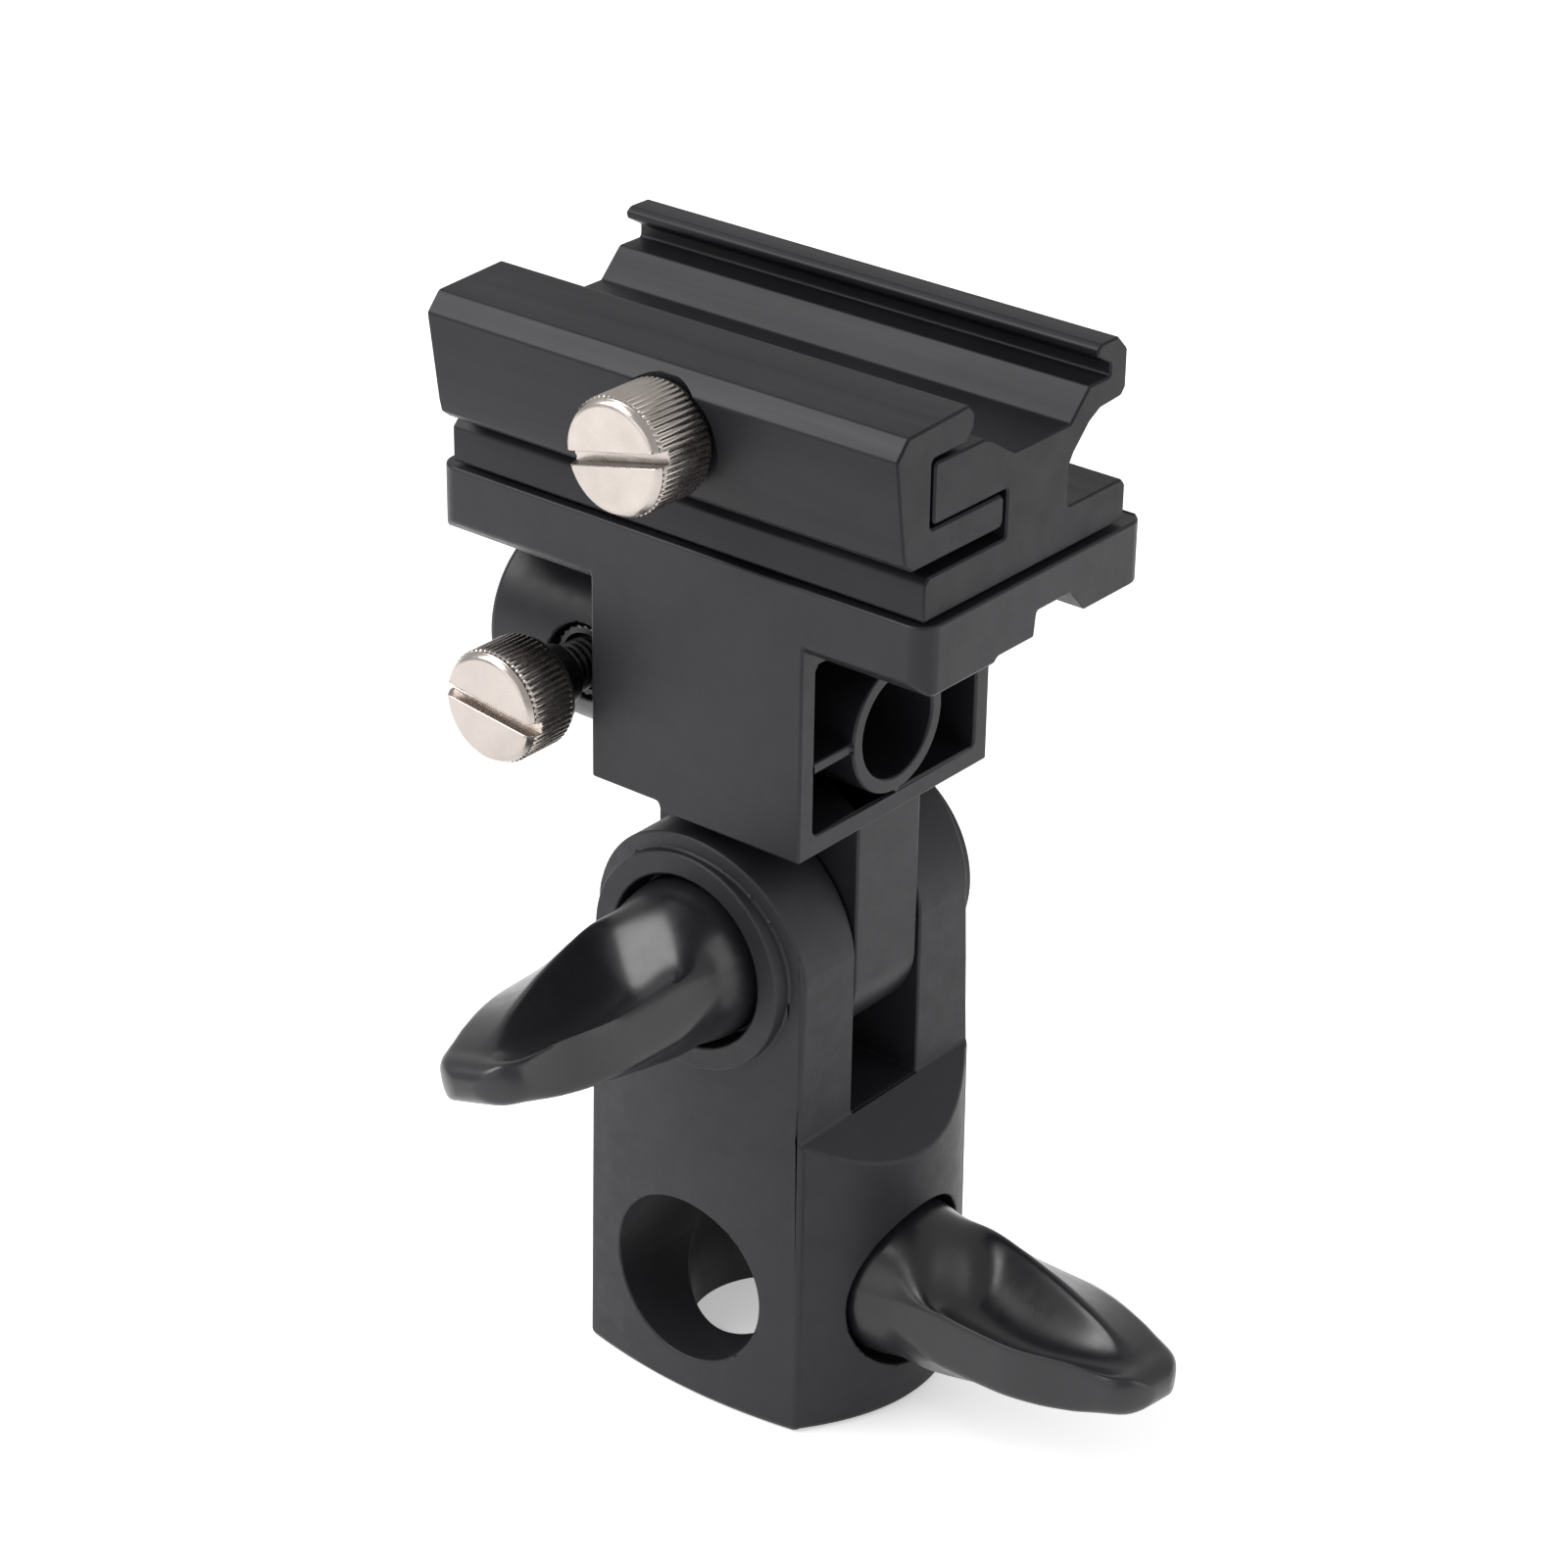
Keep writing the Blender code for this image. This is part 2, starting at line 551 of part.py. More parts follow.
def build_shoe_screws():
    """Two cap screws that hold the shoe from under the flange, each with a washer."""
    for side, x in zip(("front", "rear"), SHOE_SCREW_X):
        centre = (x, SHOE_SCREW_Y)
        steps = ((78.9, 2.5), (79.3, 2.9), (81.1, 2.9), (81.1, 1.95), (92.6, 1.95), (93.0, 1.6))
        screw = turned(f"shoe_screw_{side}", "Z", centre, steps, count=24)
        cut(screw, prism(f"drive_{side}", "Z", circle(1.5, centre, 6), 77, 80.2))
        show(screw, (0.1, 0.1, 0.1), 1.0, 0.4)
        washer = prism(f"shoe_washer_{side}", "Z", circle(3.5, centre, 32), 81.4, 81.9)
        cut(washer, cylinder(f"washer_bore_{side}", "Z", centre, 2.2, 70, 90, count=24))
        show(washer, (0.5, 0.5, 0.5), 1.0, 0.35)


def build_jaw():
    jaw = prism("shoe_jaw", "X", JAW_OUTLINE, *JAW_X, origin=(0, -12.4, JAW_SCREW_Z))
    centre = (JAW_SCREW_X, JAW_SCREW_Z)
    cut(jaw, cylinder("jaw_screw_hole", "Y", centre, 2.4, -20, -10, count=24))
    cut(jaw, cylinder("jaw_spot_face", "Y", centre, HEAD_RADIUS + 0.1, -20, -16.2, count=40))
    return show(jaw, (0.05, 0.05, 0.056), 0.6, 0.4)


def build_jaw_screw():
    centre = (JAW_SCREW_X, JAW_SCREW_Z)
    thumb_screw("jaw_lock_screw", centre, -23.6, 7.1, (0.2, 2.2), 1.95, -5.7, 13)


def axis_empty(name, position, parent=None):
    """An empty that marks a joint axis."""
    made = bpy.data.objects.new(name, None)
    made.empty_display_size = 0.01
    made.location = [(c - shift) * MM for c, shift in zip(position, ORIGIN)]
    bracket.objects.link(made)
    hang(made, parent)
    return made


def hang(child, parent):
    """Parents an object without moving it."""
    if parent is None:
        return
    bpy.context.view_layer.update()
    child.parent = parent
    child.matrix_parent_inverse = parent.matrix_world.inverted()


def hang_on_axes():
    """Hangs each moving piece on an empty that marks its joint."""
    head = axis_empty("head_tilt_axis", (0, 0, PIVOT_Z))
    knob_axis = axis_empty("tilt_knob_axis", (0, TILT_KNOB_Y, PIVOT_Z))
    lock = axis_empty("stand_lock_axis", (LOCK_KNOB_X, 0, CROSS_Z))
    umbrella = axis_empty("umbrella_lock_axis", (SCREW_X, 0, TUBE_Z), head)
    jaw = axis_empty("jaw_slide_axis", (JAW_SCREW_X, -12.4, JAW_SCREW_Z), head)
    jaw_turn = axis_empty("jaw_screw_axis", (JAW_SCREW_X, -12.4, JAW_SCREW_Z), jaw)
    on_head = ("umbrella_holder", "friction_disc_near", "friction_disc_far", "umbrella_lock_bush", "shoe_rail",
               "shoe_screw_front", "shoe_screw_rear", "shoe_washer_front", "shoe_washer_rear")
    for name in on_head:
        hang(bpy.data.objects[name], head)
    for name, parent in (("tilt_knob", knob_axis), ("tilt_knob_nut", knob_axis), ("stand_lock_knob", lock),
                         ("stand_lock_stud", lock), ("umbrella_lock_screw", umbrella), ("shoe_jaw", jaw),
                         ("jaw_lock_screw", jaw_turn)):
        hang(bpy.data.objects[name], parent)


build_stand_body()
build_stand_lock()
build_lock_knob()
build_tilt_clamp()
build_tilt_knob()
build_holder()
build_umbrella_lock()
build_rail()
build_shoe_screws()
build_jaw()
build_jaw_screw()
hang_on_axes()
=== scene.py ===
"""Looks of the umbrella swivel bracket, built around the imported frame.

Shapes are written in millimetres of the design's working frame (origin under the tilt axis at the socket's
foot, X along the shoe, -Y towards the tilt knob) and shifted into the row frame by ORIGIN.
"""

import json
import math

import bmesh
import bpy
from mathutils import Matrix, Vector


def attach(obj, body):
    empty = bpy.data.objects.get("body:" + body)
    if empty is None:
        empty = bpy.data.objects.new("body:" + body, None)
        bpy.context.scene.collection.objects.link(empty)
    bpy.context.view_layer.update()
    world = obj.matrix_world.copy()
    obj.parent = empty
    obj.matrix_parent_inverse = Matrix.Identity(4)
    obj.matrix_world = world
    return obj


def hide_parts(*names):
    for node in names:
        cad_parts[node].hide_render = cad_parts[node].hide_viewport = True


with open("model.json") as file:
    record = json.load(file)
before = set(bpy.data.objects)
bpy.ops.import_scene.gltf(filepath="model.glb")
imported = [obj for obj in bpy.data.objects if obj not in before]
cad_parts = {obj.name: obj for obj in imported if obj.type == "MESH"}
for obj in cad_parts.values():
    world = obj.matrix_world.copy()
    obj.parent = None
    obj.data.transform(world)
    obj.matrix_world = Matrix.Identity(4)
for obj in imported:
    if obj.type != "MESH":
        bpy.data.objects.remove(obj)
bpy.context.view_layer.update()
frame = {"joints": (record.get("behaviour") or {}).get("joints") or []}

MM = 0.001
PIVOT_Z = 45.3  # tilt axis, along Y
CROSS_Z = 11.7  # crosswise bore and the lock knob's axis, along X
TUBE_Z = 67.4  # umbrella tube, along X
SCREW_X = -16.7  # umbrella thumb screw, along Y
JAW_SCREW_Z = 96.4
FLOOR_Z = 96.8  # where the shoe's foot rests
SHOE_SCREWS = (("front", 16.0), ("rear", -16.0))
SHOE_SCREW_Y = 2.4
PAST = 20  # cutters end this far out, past the faces that they cut
FINE, ROUND, PLAIN, SMALL = 120, 96, 64, 48  # sides of round shapes
FILLET_STEPS = 5
NEARLY_STRAIGHT = 0.12  # radians
SIDE_SHARE = 0.45  # most of a side that a rounded corner takes

joints = {joint["name"]: joint for joint in frame["joints"]}
pivot = joints["head_tilt"]["pos_m"]
ORIGIN = (-pivot[0] / MM, -pivot[1] / MM, PIVOT_Z - pivot[2] / MM)


# ---------------------------------------------------------------- shapes

def row_frame(x, y, z):
    """A point of the working frame, in the row frame."""
    return Vector([(c - o) * MM for c, o in zip((x, y, z), ORIGIN)])


def point(axis, along, u, v):
    if axis == "X":
        return (along, u, v)
    if axis == "Y":
        return (u, along, v)
    return (u, v, along)


def loft(rings, closed=False):
    """A closed body through rings of equal length; `closed` joins the last ring to the first."""
    bm = bmesh.new()
    made = [[bm.verts.new(p) for p in ring] for ring in rings]
    pairs = list(zip(made, made[1:]))
    if closed:
        pairs.append((made[-1], made[0]))
    for low, high in pairs:
        for i, start in enumerate(low):
            j = (i + 1) % len(low)
            bm.faces.new((start, low[j], high[j], high[i]))
    if not closed:
        bm.faces.new(made[0])
        bm.faces.new(made[-1])
    return bm


def piece(name, bm):
    """An object of the row frame from a bmesh in working millimetres."""
    bmesh.ops.recalc_face_normals(bm, faces=bm.faces)
    bm.transform(Matrix.Scale(MM, 4) @ Matrix.Translation([-c for c in ORIGIN]))
    mesh = bpy.data.meshes.new(name)
    bm.to_mesh(mesh)
    bm.free()
    made = bpy.data.objects.new(name, mesh)
    bpy.context.scene.collection.objects.link(made)
    return made


def circle(radius, centre, count):
    angles = [2 * math.pi * i / count for i in range(count)]
    return [(centre[0] + radius * math.cos(a), centre[1] + radius * math.sin(a)) for a in angles]


def prism(name, axis, outline, start, end):
    return piece(name, loft([[point(axis, a, u, v) for u, v in outline] for a in (start, end)]))


def turned(name, axis, centre, steps, count):
    """A round body from (position along the axis, radius) steps."""
    return piece(name, loft([[point(axis, a, u, v) for u, v in circle(r, centre, count)] for a, r in steps]))


def ring(name, axis, centre, profile, count):
    """A round ring from a closed (position along the axis, radius) profile."""
    rings = []
    for i in range(count):
        a = 2 * math.pi * i / count
        rings.append([point(axis, along, centre[0] + r * math.cos(a), centre[1] + r * math.sin(a))
                      for along, r in profile])
    return piece(name, loft(rings, closed=True))


def fillet(outline, radius):
    """Rounds the corners of a closed outline, less where its sides are short."""
    rounded = []
    count = len(outline)
    for i in range(count):
        corner = Vector(outline[i])
        to_last = Vector(outline[i - 1]) - corner
        to_next = Vector(outline[(i + 1) % count]) - corner
        turn = to_last.angle(to_next, math.pi)
        if math.pi - turn < NEARLY_STRAIGHT:
            rounded.append(tuple(corner))
            continue
        most = SIDE_SHARE * to_last.length, SIDE_SHARE * to_next.length
        reach = min(radius / math.tan(turn / 2), *most)
        start = corner + to_last.normalized() * reach
        end = corner + to_next.normalized() * reach
        for k in range(FILLET_STEPS + 1):
            t = k / FILLET_STEPS
            rounded.append(tuple((1 - t) ** 2 * start + 2 * t * (1 - t) * corner + t * t * end))
    return rounded


def inset(outline, distance):
    """The outline moved inwards by a small distance."""
    count = len(outline)
    area = sum(outline[i - 1][0] * outline[i][1] - outline[i][0] * outline[i - 1][1] for i in range(count))
    side = 1 if area > 0 else -1
    moved = []
    for i in range(count):
        before = (Vector(outline[i]) - Vector(outline[i - 1])).normalized()
        after = (Vector(outline[(i + 1) % count]) - Vector(outline[i])).normalized()
        normal = Vector((-(before.y + after.y), before.x + after.x)) * side
        if normal.length > 1e-6:
            normal.normalize()
        moved.append(tuple(Vector(outline[i]) + normal * distance))
    return moved


def extrusion(name, axis, outline, start, end, edge):
    """A prism whose two ends have a small chamfer."""
    small = inset(outline, edge)
    sections = ((start, small), (start + edge, outline), (end - edge, outline), (end, small))
    return piece(name, loft([[point(axis, a, u, v) for u, v in shape] for a, shape in sections]))


def combine(target, operation, tool):
    """Applies a Boolean at once and removes the tool."""
    modifier = target.modifiers.new("step", "BOOLEAN")
    modifier.operation = operation
    modifier.solver = "EXACT"
    modifier.object = tool
    bpy.context.view_layer.update()
    graph = bpy.context.evaluated_depsgraph_get()
    mesh = bpy.data.meshes.new_from_object(target.evaluated_get(graph))
    target.modifiers.clear()
    old = target.data
    target.data = mesh
    bpy.data.meshes.remove(old)
    bpy.data.objects.remove(tool, do_unlink=True)


def cut(target, tool):
    combine(target, "DIFFERENCE", tool)


def add(target, tool):
    combine(target, "UNION", tool)


def soften(made, width, angle=28, segments=3):
    """Rounds the edges of a finished solid and shades it."""
    bm = bmesh.new()
    bm.from_mesh(made.data)
    bmesh.ops.remove_doubles(bm, verts=bm.verts, dist=0.004 * MM)
    bmesh.ops.dissolve_degenerate(bm, dist=0.01 * MM, edges=bm.edges)
    bmesh.ops.dissolve_limit(bm, angle_limit=math.radians(0.2), verts=bm.verts, edges=bm.edges)
    bm.to_mesh(made.data)
    bm.free()
    bevel = made.modifiers.new("edges", "BEVEL")
    bevel.width = width * MM
    bevel.segments = segments
    bevel.limit_method = "ANGLE"
    bevel.angle_limit = math.radians(angle)
    bevel.use_clamp_overlap = False
    bevel.harden_normals = False
    bevel.miter_outer = "MITER_ARC"
    shade(made)
    normals = made.modifiers.new("normals", "WEIGHTED_NORMAL")
    normals.keep_sharp = True
    return made


def shade(made, angle=35):
    for polygon in made.data.polygons:
        polygon.use_smooth = True
    made.data.set_sharp_from_angle(angle=math.radians(angle))
    return made


# ---------------------------------------------------------------- materials

DIE_LINES = (0.03, 1, 1)  # stretches the noise along X
TOOL_LINES = 9000
TOOL_DEPTH = 0.000006
ACROSS = {"X": (0, 1, 1), "Y": (1, 0, 1), "Z": (1, 1, 0)}


def nodes_of(name):
    made = bpy.data.materials.new(name)
    made.use_nodes = True
    tree = made.node_tree
    return made, tree, tree.nodes["Principled BSDF"]


def coordinates(tree, scale):
    where = tree.nodes.new("ShaderNodeTexCoord")
    mapping = tree.nodes.new("ShaderNodeMapping")
    mapping.inputs["Scale"].default_value = scale
    tree.links.new(where.outputs["Object"], mapping.inputs["Vector"])
    return mapping.outputs["Vector"]


def noise(tree, vector, scale, detail, roughness):
    made = tree.nodes.new("ShaderNodeTexNoise")
    made.inputs["Scale"].default_value = scale
    made.inputs["Detail"].default_value = detail
    made.inputs["Roughness"].default_value = roughness
    tree.links.new(vector, made.inputs["Vector"])
    return made.outputs["Fac"]


def ramp(tree, value, low, high, start=0.3, end=0.7):
    """Maps a noise value to a range of numbers or of colours."""
    made = tree.nodes.new("ShaderNodeValToRGB")
    made.color_ramp.elements[0].position = start
    made.color_ramp.elements[1].position = end
    for element, shade_value in zip(made.color_ramp.elements, (low, high)):
        colour = shade_value if isinstance(shade_value, tuple) else (shade_value,) * 3
        element.color = (*colour, 1)
    tree.links.new(value, made.inputs["Fac"])
    return made.outputs["Color"]


def bumped(tree, shader, value, distance, strength, before=None):
    made = tree.nodes.new("ShaderNodeBump")
    made.inputs["Distance"].default_value = distance
    made.inputs["Strength"].default_value = strength
    tree.links.new(value, made.inputs["Height"])
    if before is not None:
        tree.links.new(before, made.inputs["Normal"])
    tree.links.new(made.outputs["Normal"], shader.inputs["Normal"])
    return made.outputs["Normal"]


def moulded(name, dark, light, roughness, grain, coat=0.0, gloss=0.3):
    """Black plastic: fine grain, faint handling marks in the gloss, slow change in tone."""
    made, tree, shader = nodes_of(name)
    even = coordinates(tree, (1, 1, 1))
    cloud = noise(tree, even, 90, 5, 0.6)
    tree.links.new(ramp(tree, cloud, dark, light, 0.25, 0.8), shader.inputs["Base Color"])
    marks = noise(tree, even, 420, 6, 0.7)
    tree.links.new(ramp(tree, marks, roughness - 0.06, roughness + 0.07), shader.inputs["Roughness"])
    fine = noise(tree, even, 2600, 3, 0.6)
    normal = bumped(tree, shader, fine, grain, 0.5)
    wave = noise(tree, even, 60, 2, 0.5)
    bumped(tree, shader, wave, 0.00004, 0.25, normal)
    shader.inputs["Specular IOR Level"].default_value = gloss
    shader.inputs["Coat Weight"].default_value = coat
    shader.inputs["Coat Roughness"].default_value = 0.22
    return made


def coated_metal(name, dark, light, roughness):
    """Black coated extrusion: faint die lines along X and a fine grain."""
    made, tree, shader = nodes_of(name)
    even = coordinates(tree, (1, 1, 1))
    cloud = noise(tree, even, 120, 5, 0.6)
    tree.links.new(ramp(tree, cloud, dark, light, 0.25, 0.8), shader.inputs["Base Color"])
    drawn = coordinates(tree, DIE_LINES)
    lines = noise(tree, drawn, 300, 4, 0.6)
    tree.links.new(ramp(tree, lines, roughness - 0.06, roughness + 0.08), shader.inputs["Roughness"])
    fine = noise(tree, even, 4200, 2, 0.5)
    normal = bumped(tree, shader, fine, 0.000012, 0.5)
    bumped(tree, shader, lines, 0.00001, 0.35, normal)
    shader.inputs["Metallic"].default_value = 0.1
    shader.inputs["Specular IOR Level"].default_value = 0.22
    return made


def machined(name, dark, light, roughness, centre, axis):
    """Turned metal: rings round an axis, small smudges in colour and gloss."""
    made, tree, shader = nodes_of(name)
    even = coordinates(tree, (1, 1, 1))
    cloud = noise(tree, even, 260, 5, 0.6)
    tree.links.new(ramp(tree, cloud, dark, light, 0.2, 0.8), shader.inputs["Base Color"])
    marks = noise(tree, even, 700, 5, 0.7)
    tree.links.new(ramp(tree, marks, roughness - 0.07, roughness + 0.09), shader.inputs["Roughness"])
    where = tree.nodes.new("ShaderNodeTexCoord")
    shift = tree.nodes.new("ShaderNodeVectorMath")
    shift.operation = "SUBTRACT"
    tree.links.new(where.outputs["Object"], shift.inputs[0])
    shift.inputs[1].default_value = row_frame(*centre)
    across = tree.nodes.new("ShaderNodeVectorMath")
    across.operation = "MULTIPLY"
    across.inputs[1].default_value = ACROSS[axis]
    tree.links.new(shift.outputs[0], across.inputs[0])
    length = tree.nodes.new("ShaderNodeVectorMath")
    length.operation = "LENGTH"
    tree.links.new(across.outputs[0], length.inputs[0])
    wave = tree.nodes.new("ShaderNodeTexNoise")
    wave.noise_dimensions = "1D"
    wave.inputs["Scale"].default_value = TOOL_LINES
    wave.inputs["Detail"].default_value = 2.0
    tree.links.new(length.outputs["Value"], wave.inputs["W"])
    bumped(tree, shader, wave.outputs["Fac"], TOOL_DEPTH, 0.5)
    shader.inputs["Metallic"].default_value = 1.0
    return made


def dress(made, material):
    """Puts one material on a piece or a CAD node."""
    made.data.materials.clear()
    made.data.materials.append(material)


def settle(made, body, material, *replaced, slot=None):
    """Dresses a piece and hangs it on its body in place of its CAD node."""
    dress(made, material)
    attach(made, body)
    if replaced:
        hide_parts(*replaced)


BODY_BLACK = moulded("body_black", (0.0078, 0.0078, 0.0098), (0.0125, 0.0125, 0.0155), 0.50,
                     grain=0.000022)
HOLDER_BLACK = moulded("holder_black", (0.0076, 0.0076, 0.0096), (0.0118, 0.0118, 0.0146), 0.40,
                       grain=0.000020, gloss=0.26)
KNOB_BLACK = moulded("knob_black", (0.007, 0.007, 0.0085), (0.011, 0.011, 0.0132), 0.31,
                     grain=0.000006, coat=0.12, gloss=0.36)
EXTRUSION_BLACK = coated_metal("extrusion_black", (0.0058, 0.0058, 0.0074), (0.0098, 0.0098, 0.0122), 0.42)
NYLON = moulded("nylon", (0.50, 0.48, 0.41), (0.58, 0.56, 0.49), 0.48, grain=0.00001, gloss=0.5)


def nickel(name, centre):
    return machined(name, (0.36, 0.325, 0.30), (0.46, 0.415, 0.385), 0.25, centre, "Y")


def zinc(name, centre, axis):
    return machined(name, (0.28, 0.28, 0.29), (0.40, 0.40, 0.41), 0.36, centre, axis)


def dark_brass(name, centre, axis):
    return machined(name, (0.07, 0.055, 0.03), (0.13, 0.10, 0.055), 0.42, centre, axis)


def black_steel(name, centre, axis):
    return machined(name, (0.03, 0.03, 0.032), (0.06, 0.06, 0.062), 0.42, centre, axis)


# ---------------------------------------------------------------- socket and fork

# The socket's sections: height, half of its length along X, half of its width.
BODY_HALVES = ((-0.6, 12.2, 12.3), (-0.3, 12.45, 12.55), (0.0, 12.6, 12.7), (30.2, 12.4, 12.5),
               (PIVOT_Z, 12.0, 12.0), (60.0, 12.0, 12.0))
SOCKET_CORNER = 0.6
CORNER_STEPS = 6
END_BOW, END_STEPS = 4.4, 48
SIDE_BOW, SIDE_STEPS = 1.2, 24
FORK_FRONT = 12.0
LEDGE_TOP = 30.2
LEDGE_REACH = 8
LEDGE_DROP = 4.0 * 8.0 / 4.4  # 4.0 down for each 4.4 out
EAR_RADIUS = 12.05
ARCH_HALF = 14
DISC_RADIUS = 10.5
NEAR_DISC = (-14.0, -6)
FAR_DISC = (6, 14.4)
SLOT_HALF = 4.75
STUD_RADIUS = 8.3
STUD_TOP = 25.5
CROSS_RADIUS = 8.35
RECESS_RADIUS = 8.3
LOCK_RECESS_X = 11.2
TILT_RECESS_Y = -10.4
BUSH_SEAT = (5, 12)
BUSH_SEAT_RADIUS = 4.9
BOLT_HOLE = 3.3
HEX_POCKET_RADIUS = 6.1
HEX_POCKET_Y = 9.8


def bowed(u, reach, bulge):
    """How far a bowed face stands out at u."""
    return bulge * (1 - (u / reach) ** 2)


def corner_arc(x, y, radius, start):
    points = []
    for i in range(1, CORNER_STEPS):
        a = math.radians(start + 90 * i / CORNER_STEPS)
        points.append((x + radius * math.cos(a), y + radius * math.sin(a)))
    return points


def socket_outline(x, y):
    """A section of the socket: flat at the rear, bowed at the other end and a little at both sides."""
    corner = SOCKET_CORNER
    ix, iy = x - corner, y - corner
    outline = []
    for i in range(END_STEPS + 1):
        v = -iy + 2 * iy * i / END_STEPS
        outline.append((x + bowed(v, iy, END_BOW), v))
    outline += corner_arc(ix, iy, corner, 0)
    for i in range(SIDE_STEPS + 1):
        u = ix - 2 * ix * i / SIDE_STEPS
        outline.append((u, y + bowed(u, ix, SIDE_BOW)))
    outline += corner_arc(-ix, iy, corner, 90)
    outline.append((-x, iy))
    outline.append((-x, -iy))
    outline += corner_arc(-ix, -iy, corner, 180)
    for i in range(SIDE_STEPS + 1):
        u = -ix + 2 * ix * i / SIDE_STEPS
        outline.append((u, -y - bowed(u, ix, SIDE_BOW)))
    outline += corner_arc(ix, -iy, corner, 270)
    return outline


def build_stand_body():
    body = piece("stand_body_shell",
                 loft([[(u, v, z) for u, v in socket_outline(x, y)] for z, x, y in BODY_HALVES]))
    out = FORK_FRONT + LEDGE_REACH
    front = [(FORK_FRONT, LEDGE_TOP), (out, LEDGE_TOP - LEDGE_DROP), (out, 65), (FORK_FRONT, 65)]
    cut(body, prism("front", "Y", front, -PAST, PAST))
    arc = [math.radians(a) for a in range(180, -1, -3)]
    top = [(EAR_RADIUS * math.cos(a), PIVOT_Z + EAR_RADIUS * math.sin(a)) for a in arc]
    low = PIVOT_Z - 0.01
    arch = [(-ARCH_HALF, low), *top, (ARCH_HALF, low), (ARCH_HALF, 62), (-ARCH_HALF, 62)]
    cut(body, prism("arch", "Y", arch, -PAST, PAST))
    pivot_at = (0, PIVOT_Z)
    lock = (0, CROSS_Z)
    add(body, turned("near_disc", "Y", pivot_at, [(y, DISC_RADIUS) for y in NEAR_DISC], FINE))
    add(body, turned("far_disc", "Y", pivot_at, [(y, DISC_RADIUS) for y in FAR_DISC], FINE))
    slot = [(-20, LEDGE_TOP), (20, LEDGE_TOP), (20, 70), (-20, 70)]
    cut(body, prism("slot", "Y", slot, -SLOT_HALF, SLOT_HALF))
    cut(body, turned("stud_bore", "Z", (0, 0), ((-1, STUD_RADIUS), (STUD_TOP, STUD_RADIUS)), FINE))
    cut(body, turned("cross_bore", "Y", lock, ((-PAST, CROSS_RADIUS), (PAST, CROSS_RADIUS)), FINE))
    cut(body, turned("lock_recess", "X", lock, ((LOCK_RECESS_X, RECESS_RADIUS), (PAST, RECESS_RADIUS)), FINE))
    cut(body, turned("bush_seat", "X", lock, [(x, BUSH_SEAT_RADIUS) for x in BUSH_SEAT], PLAIN))
    recess = ((-PAST, RECESS_RADIUS), (TILT_RECESS_Y, RECESS_RADIUS))
    cut(body, turned("tilt_recess", "Y", pivot_at, recess, FINE))
    cut(body, turned("pivot_bore", "Y", pivot_at, ((-PAST, BOLT_HOLE), (PAST, BOLT_HOLE)), PLAIN))
    cut(body, prism("hex_pocket", "Y", circle(HEX_POCKET_RADIUS, pivot_at, 6), HEX_POCKET_Y, PAST))
    settle(soften(body, 0.22), "stand", BODY_BLACK, "stand_body")


# ---------------------------------------------------------------- knobs

KNOB_LENGTH = 31.4
COLLAR_RADIUS = 7.0
HUB_FLARE = 0.7
HUB_EDGE, HUB_EDGE_LENGTH = 0.4, 0.45  # rounding at the foot of the collar
PADDLE_HALF_WIDTH = 7.1
PADDLE_TIP_HALF = 4.9
PADDLE_EDGE = 2.75
CREST_HEIGHT = 6.2
SCOOP_START = 4.5
SCOOP_END = 29.2
SCOOP_DEPTH = 3.0  # how far the scoop goes below the middle
TIP_ROUND = 1.8
TIP_NARROWING = 2.1
EDGE_THINNING = 0.85
RIM_DIP, RIM_RISE, RIM_POWER = 0.6, 0.35, 0.7
CREST_POWER = 1.8
NEAR_SHARE = 0.6  # of the points, those between the near edge and the ridge
SOFT_PASSES, TIP_PASSES = 3, 36
# Where along the knob each change starts and ends.
FLARE_ENDS = (1.5, 6.5)
SHOULDER = (7.5, 14.0)
TAPER = (18.0, 28.5)
EDGE_TAPER_START = 22.0
TIP_START = 28.0
RIM_START, RIM_LENGTH = 6.0, 24.0
RIDGE_START, RIDGE_LENGTH = 8.0, 20.5
BLEND_LENGTH = 8.0
RIDGE_FIRST, RIDGE_SHIFT = -0.55, 0.65  # across the wing, as a share of its half width
KNOB_POINTS = 49  # on each half of a section
WALL_POINTS = 12
LOCK_KNOB_X = 12.5
LOCK_KNOB_ROLL = math.radians(-8.0)
TILT_KNOB_Y = -11.2
TILT_KNOB_ROLL = math.radians(-16.0)
KNOB_BORE = 3.2
INSERT_SEAT = 4.9


def clamped(value):
    return min(max(value, 0.0), 1.0)


def even(value, start, end):
    """Goes smoothly from 0 at the start to 1 at the end."""
    share = clamped((value - start) / (end - start))
    return share * share * (3 - 2 * share)


def knob_width(along):
    """Half of the wing's width."""
    width = COLLAR_RADIUS + (PADDLE_HALF_WIDTH - COLLAR_RADIUS) * even(along, *SHOULDER)
    width -= (PADDLE_HALF_WIDTH - PADDLE_TIP_HALF) * even(along, *TAPER)
    return width - TIP_NARROWING * max(0.0, (along - TIP_START) / (KNOB_LENGTH - TIP_START)) ** 2


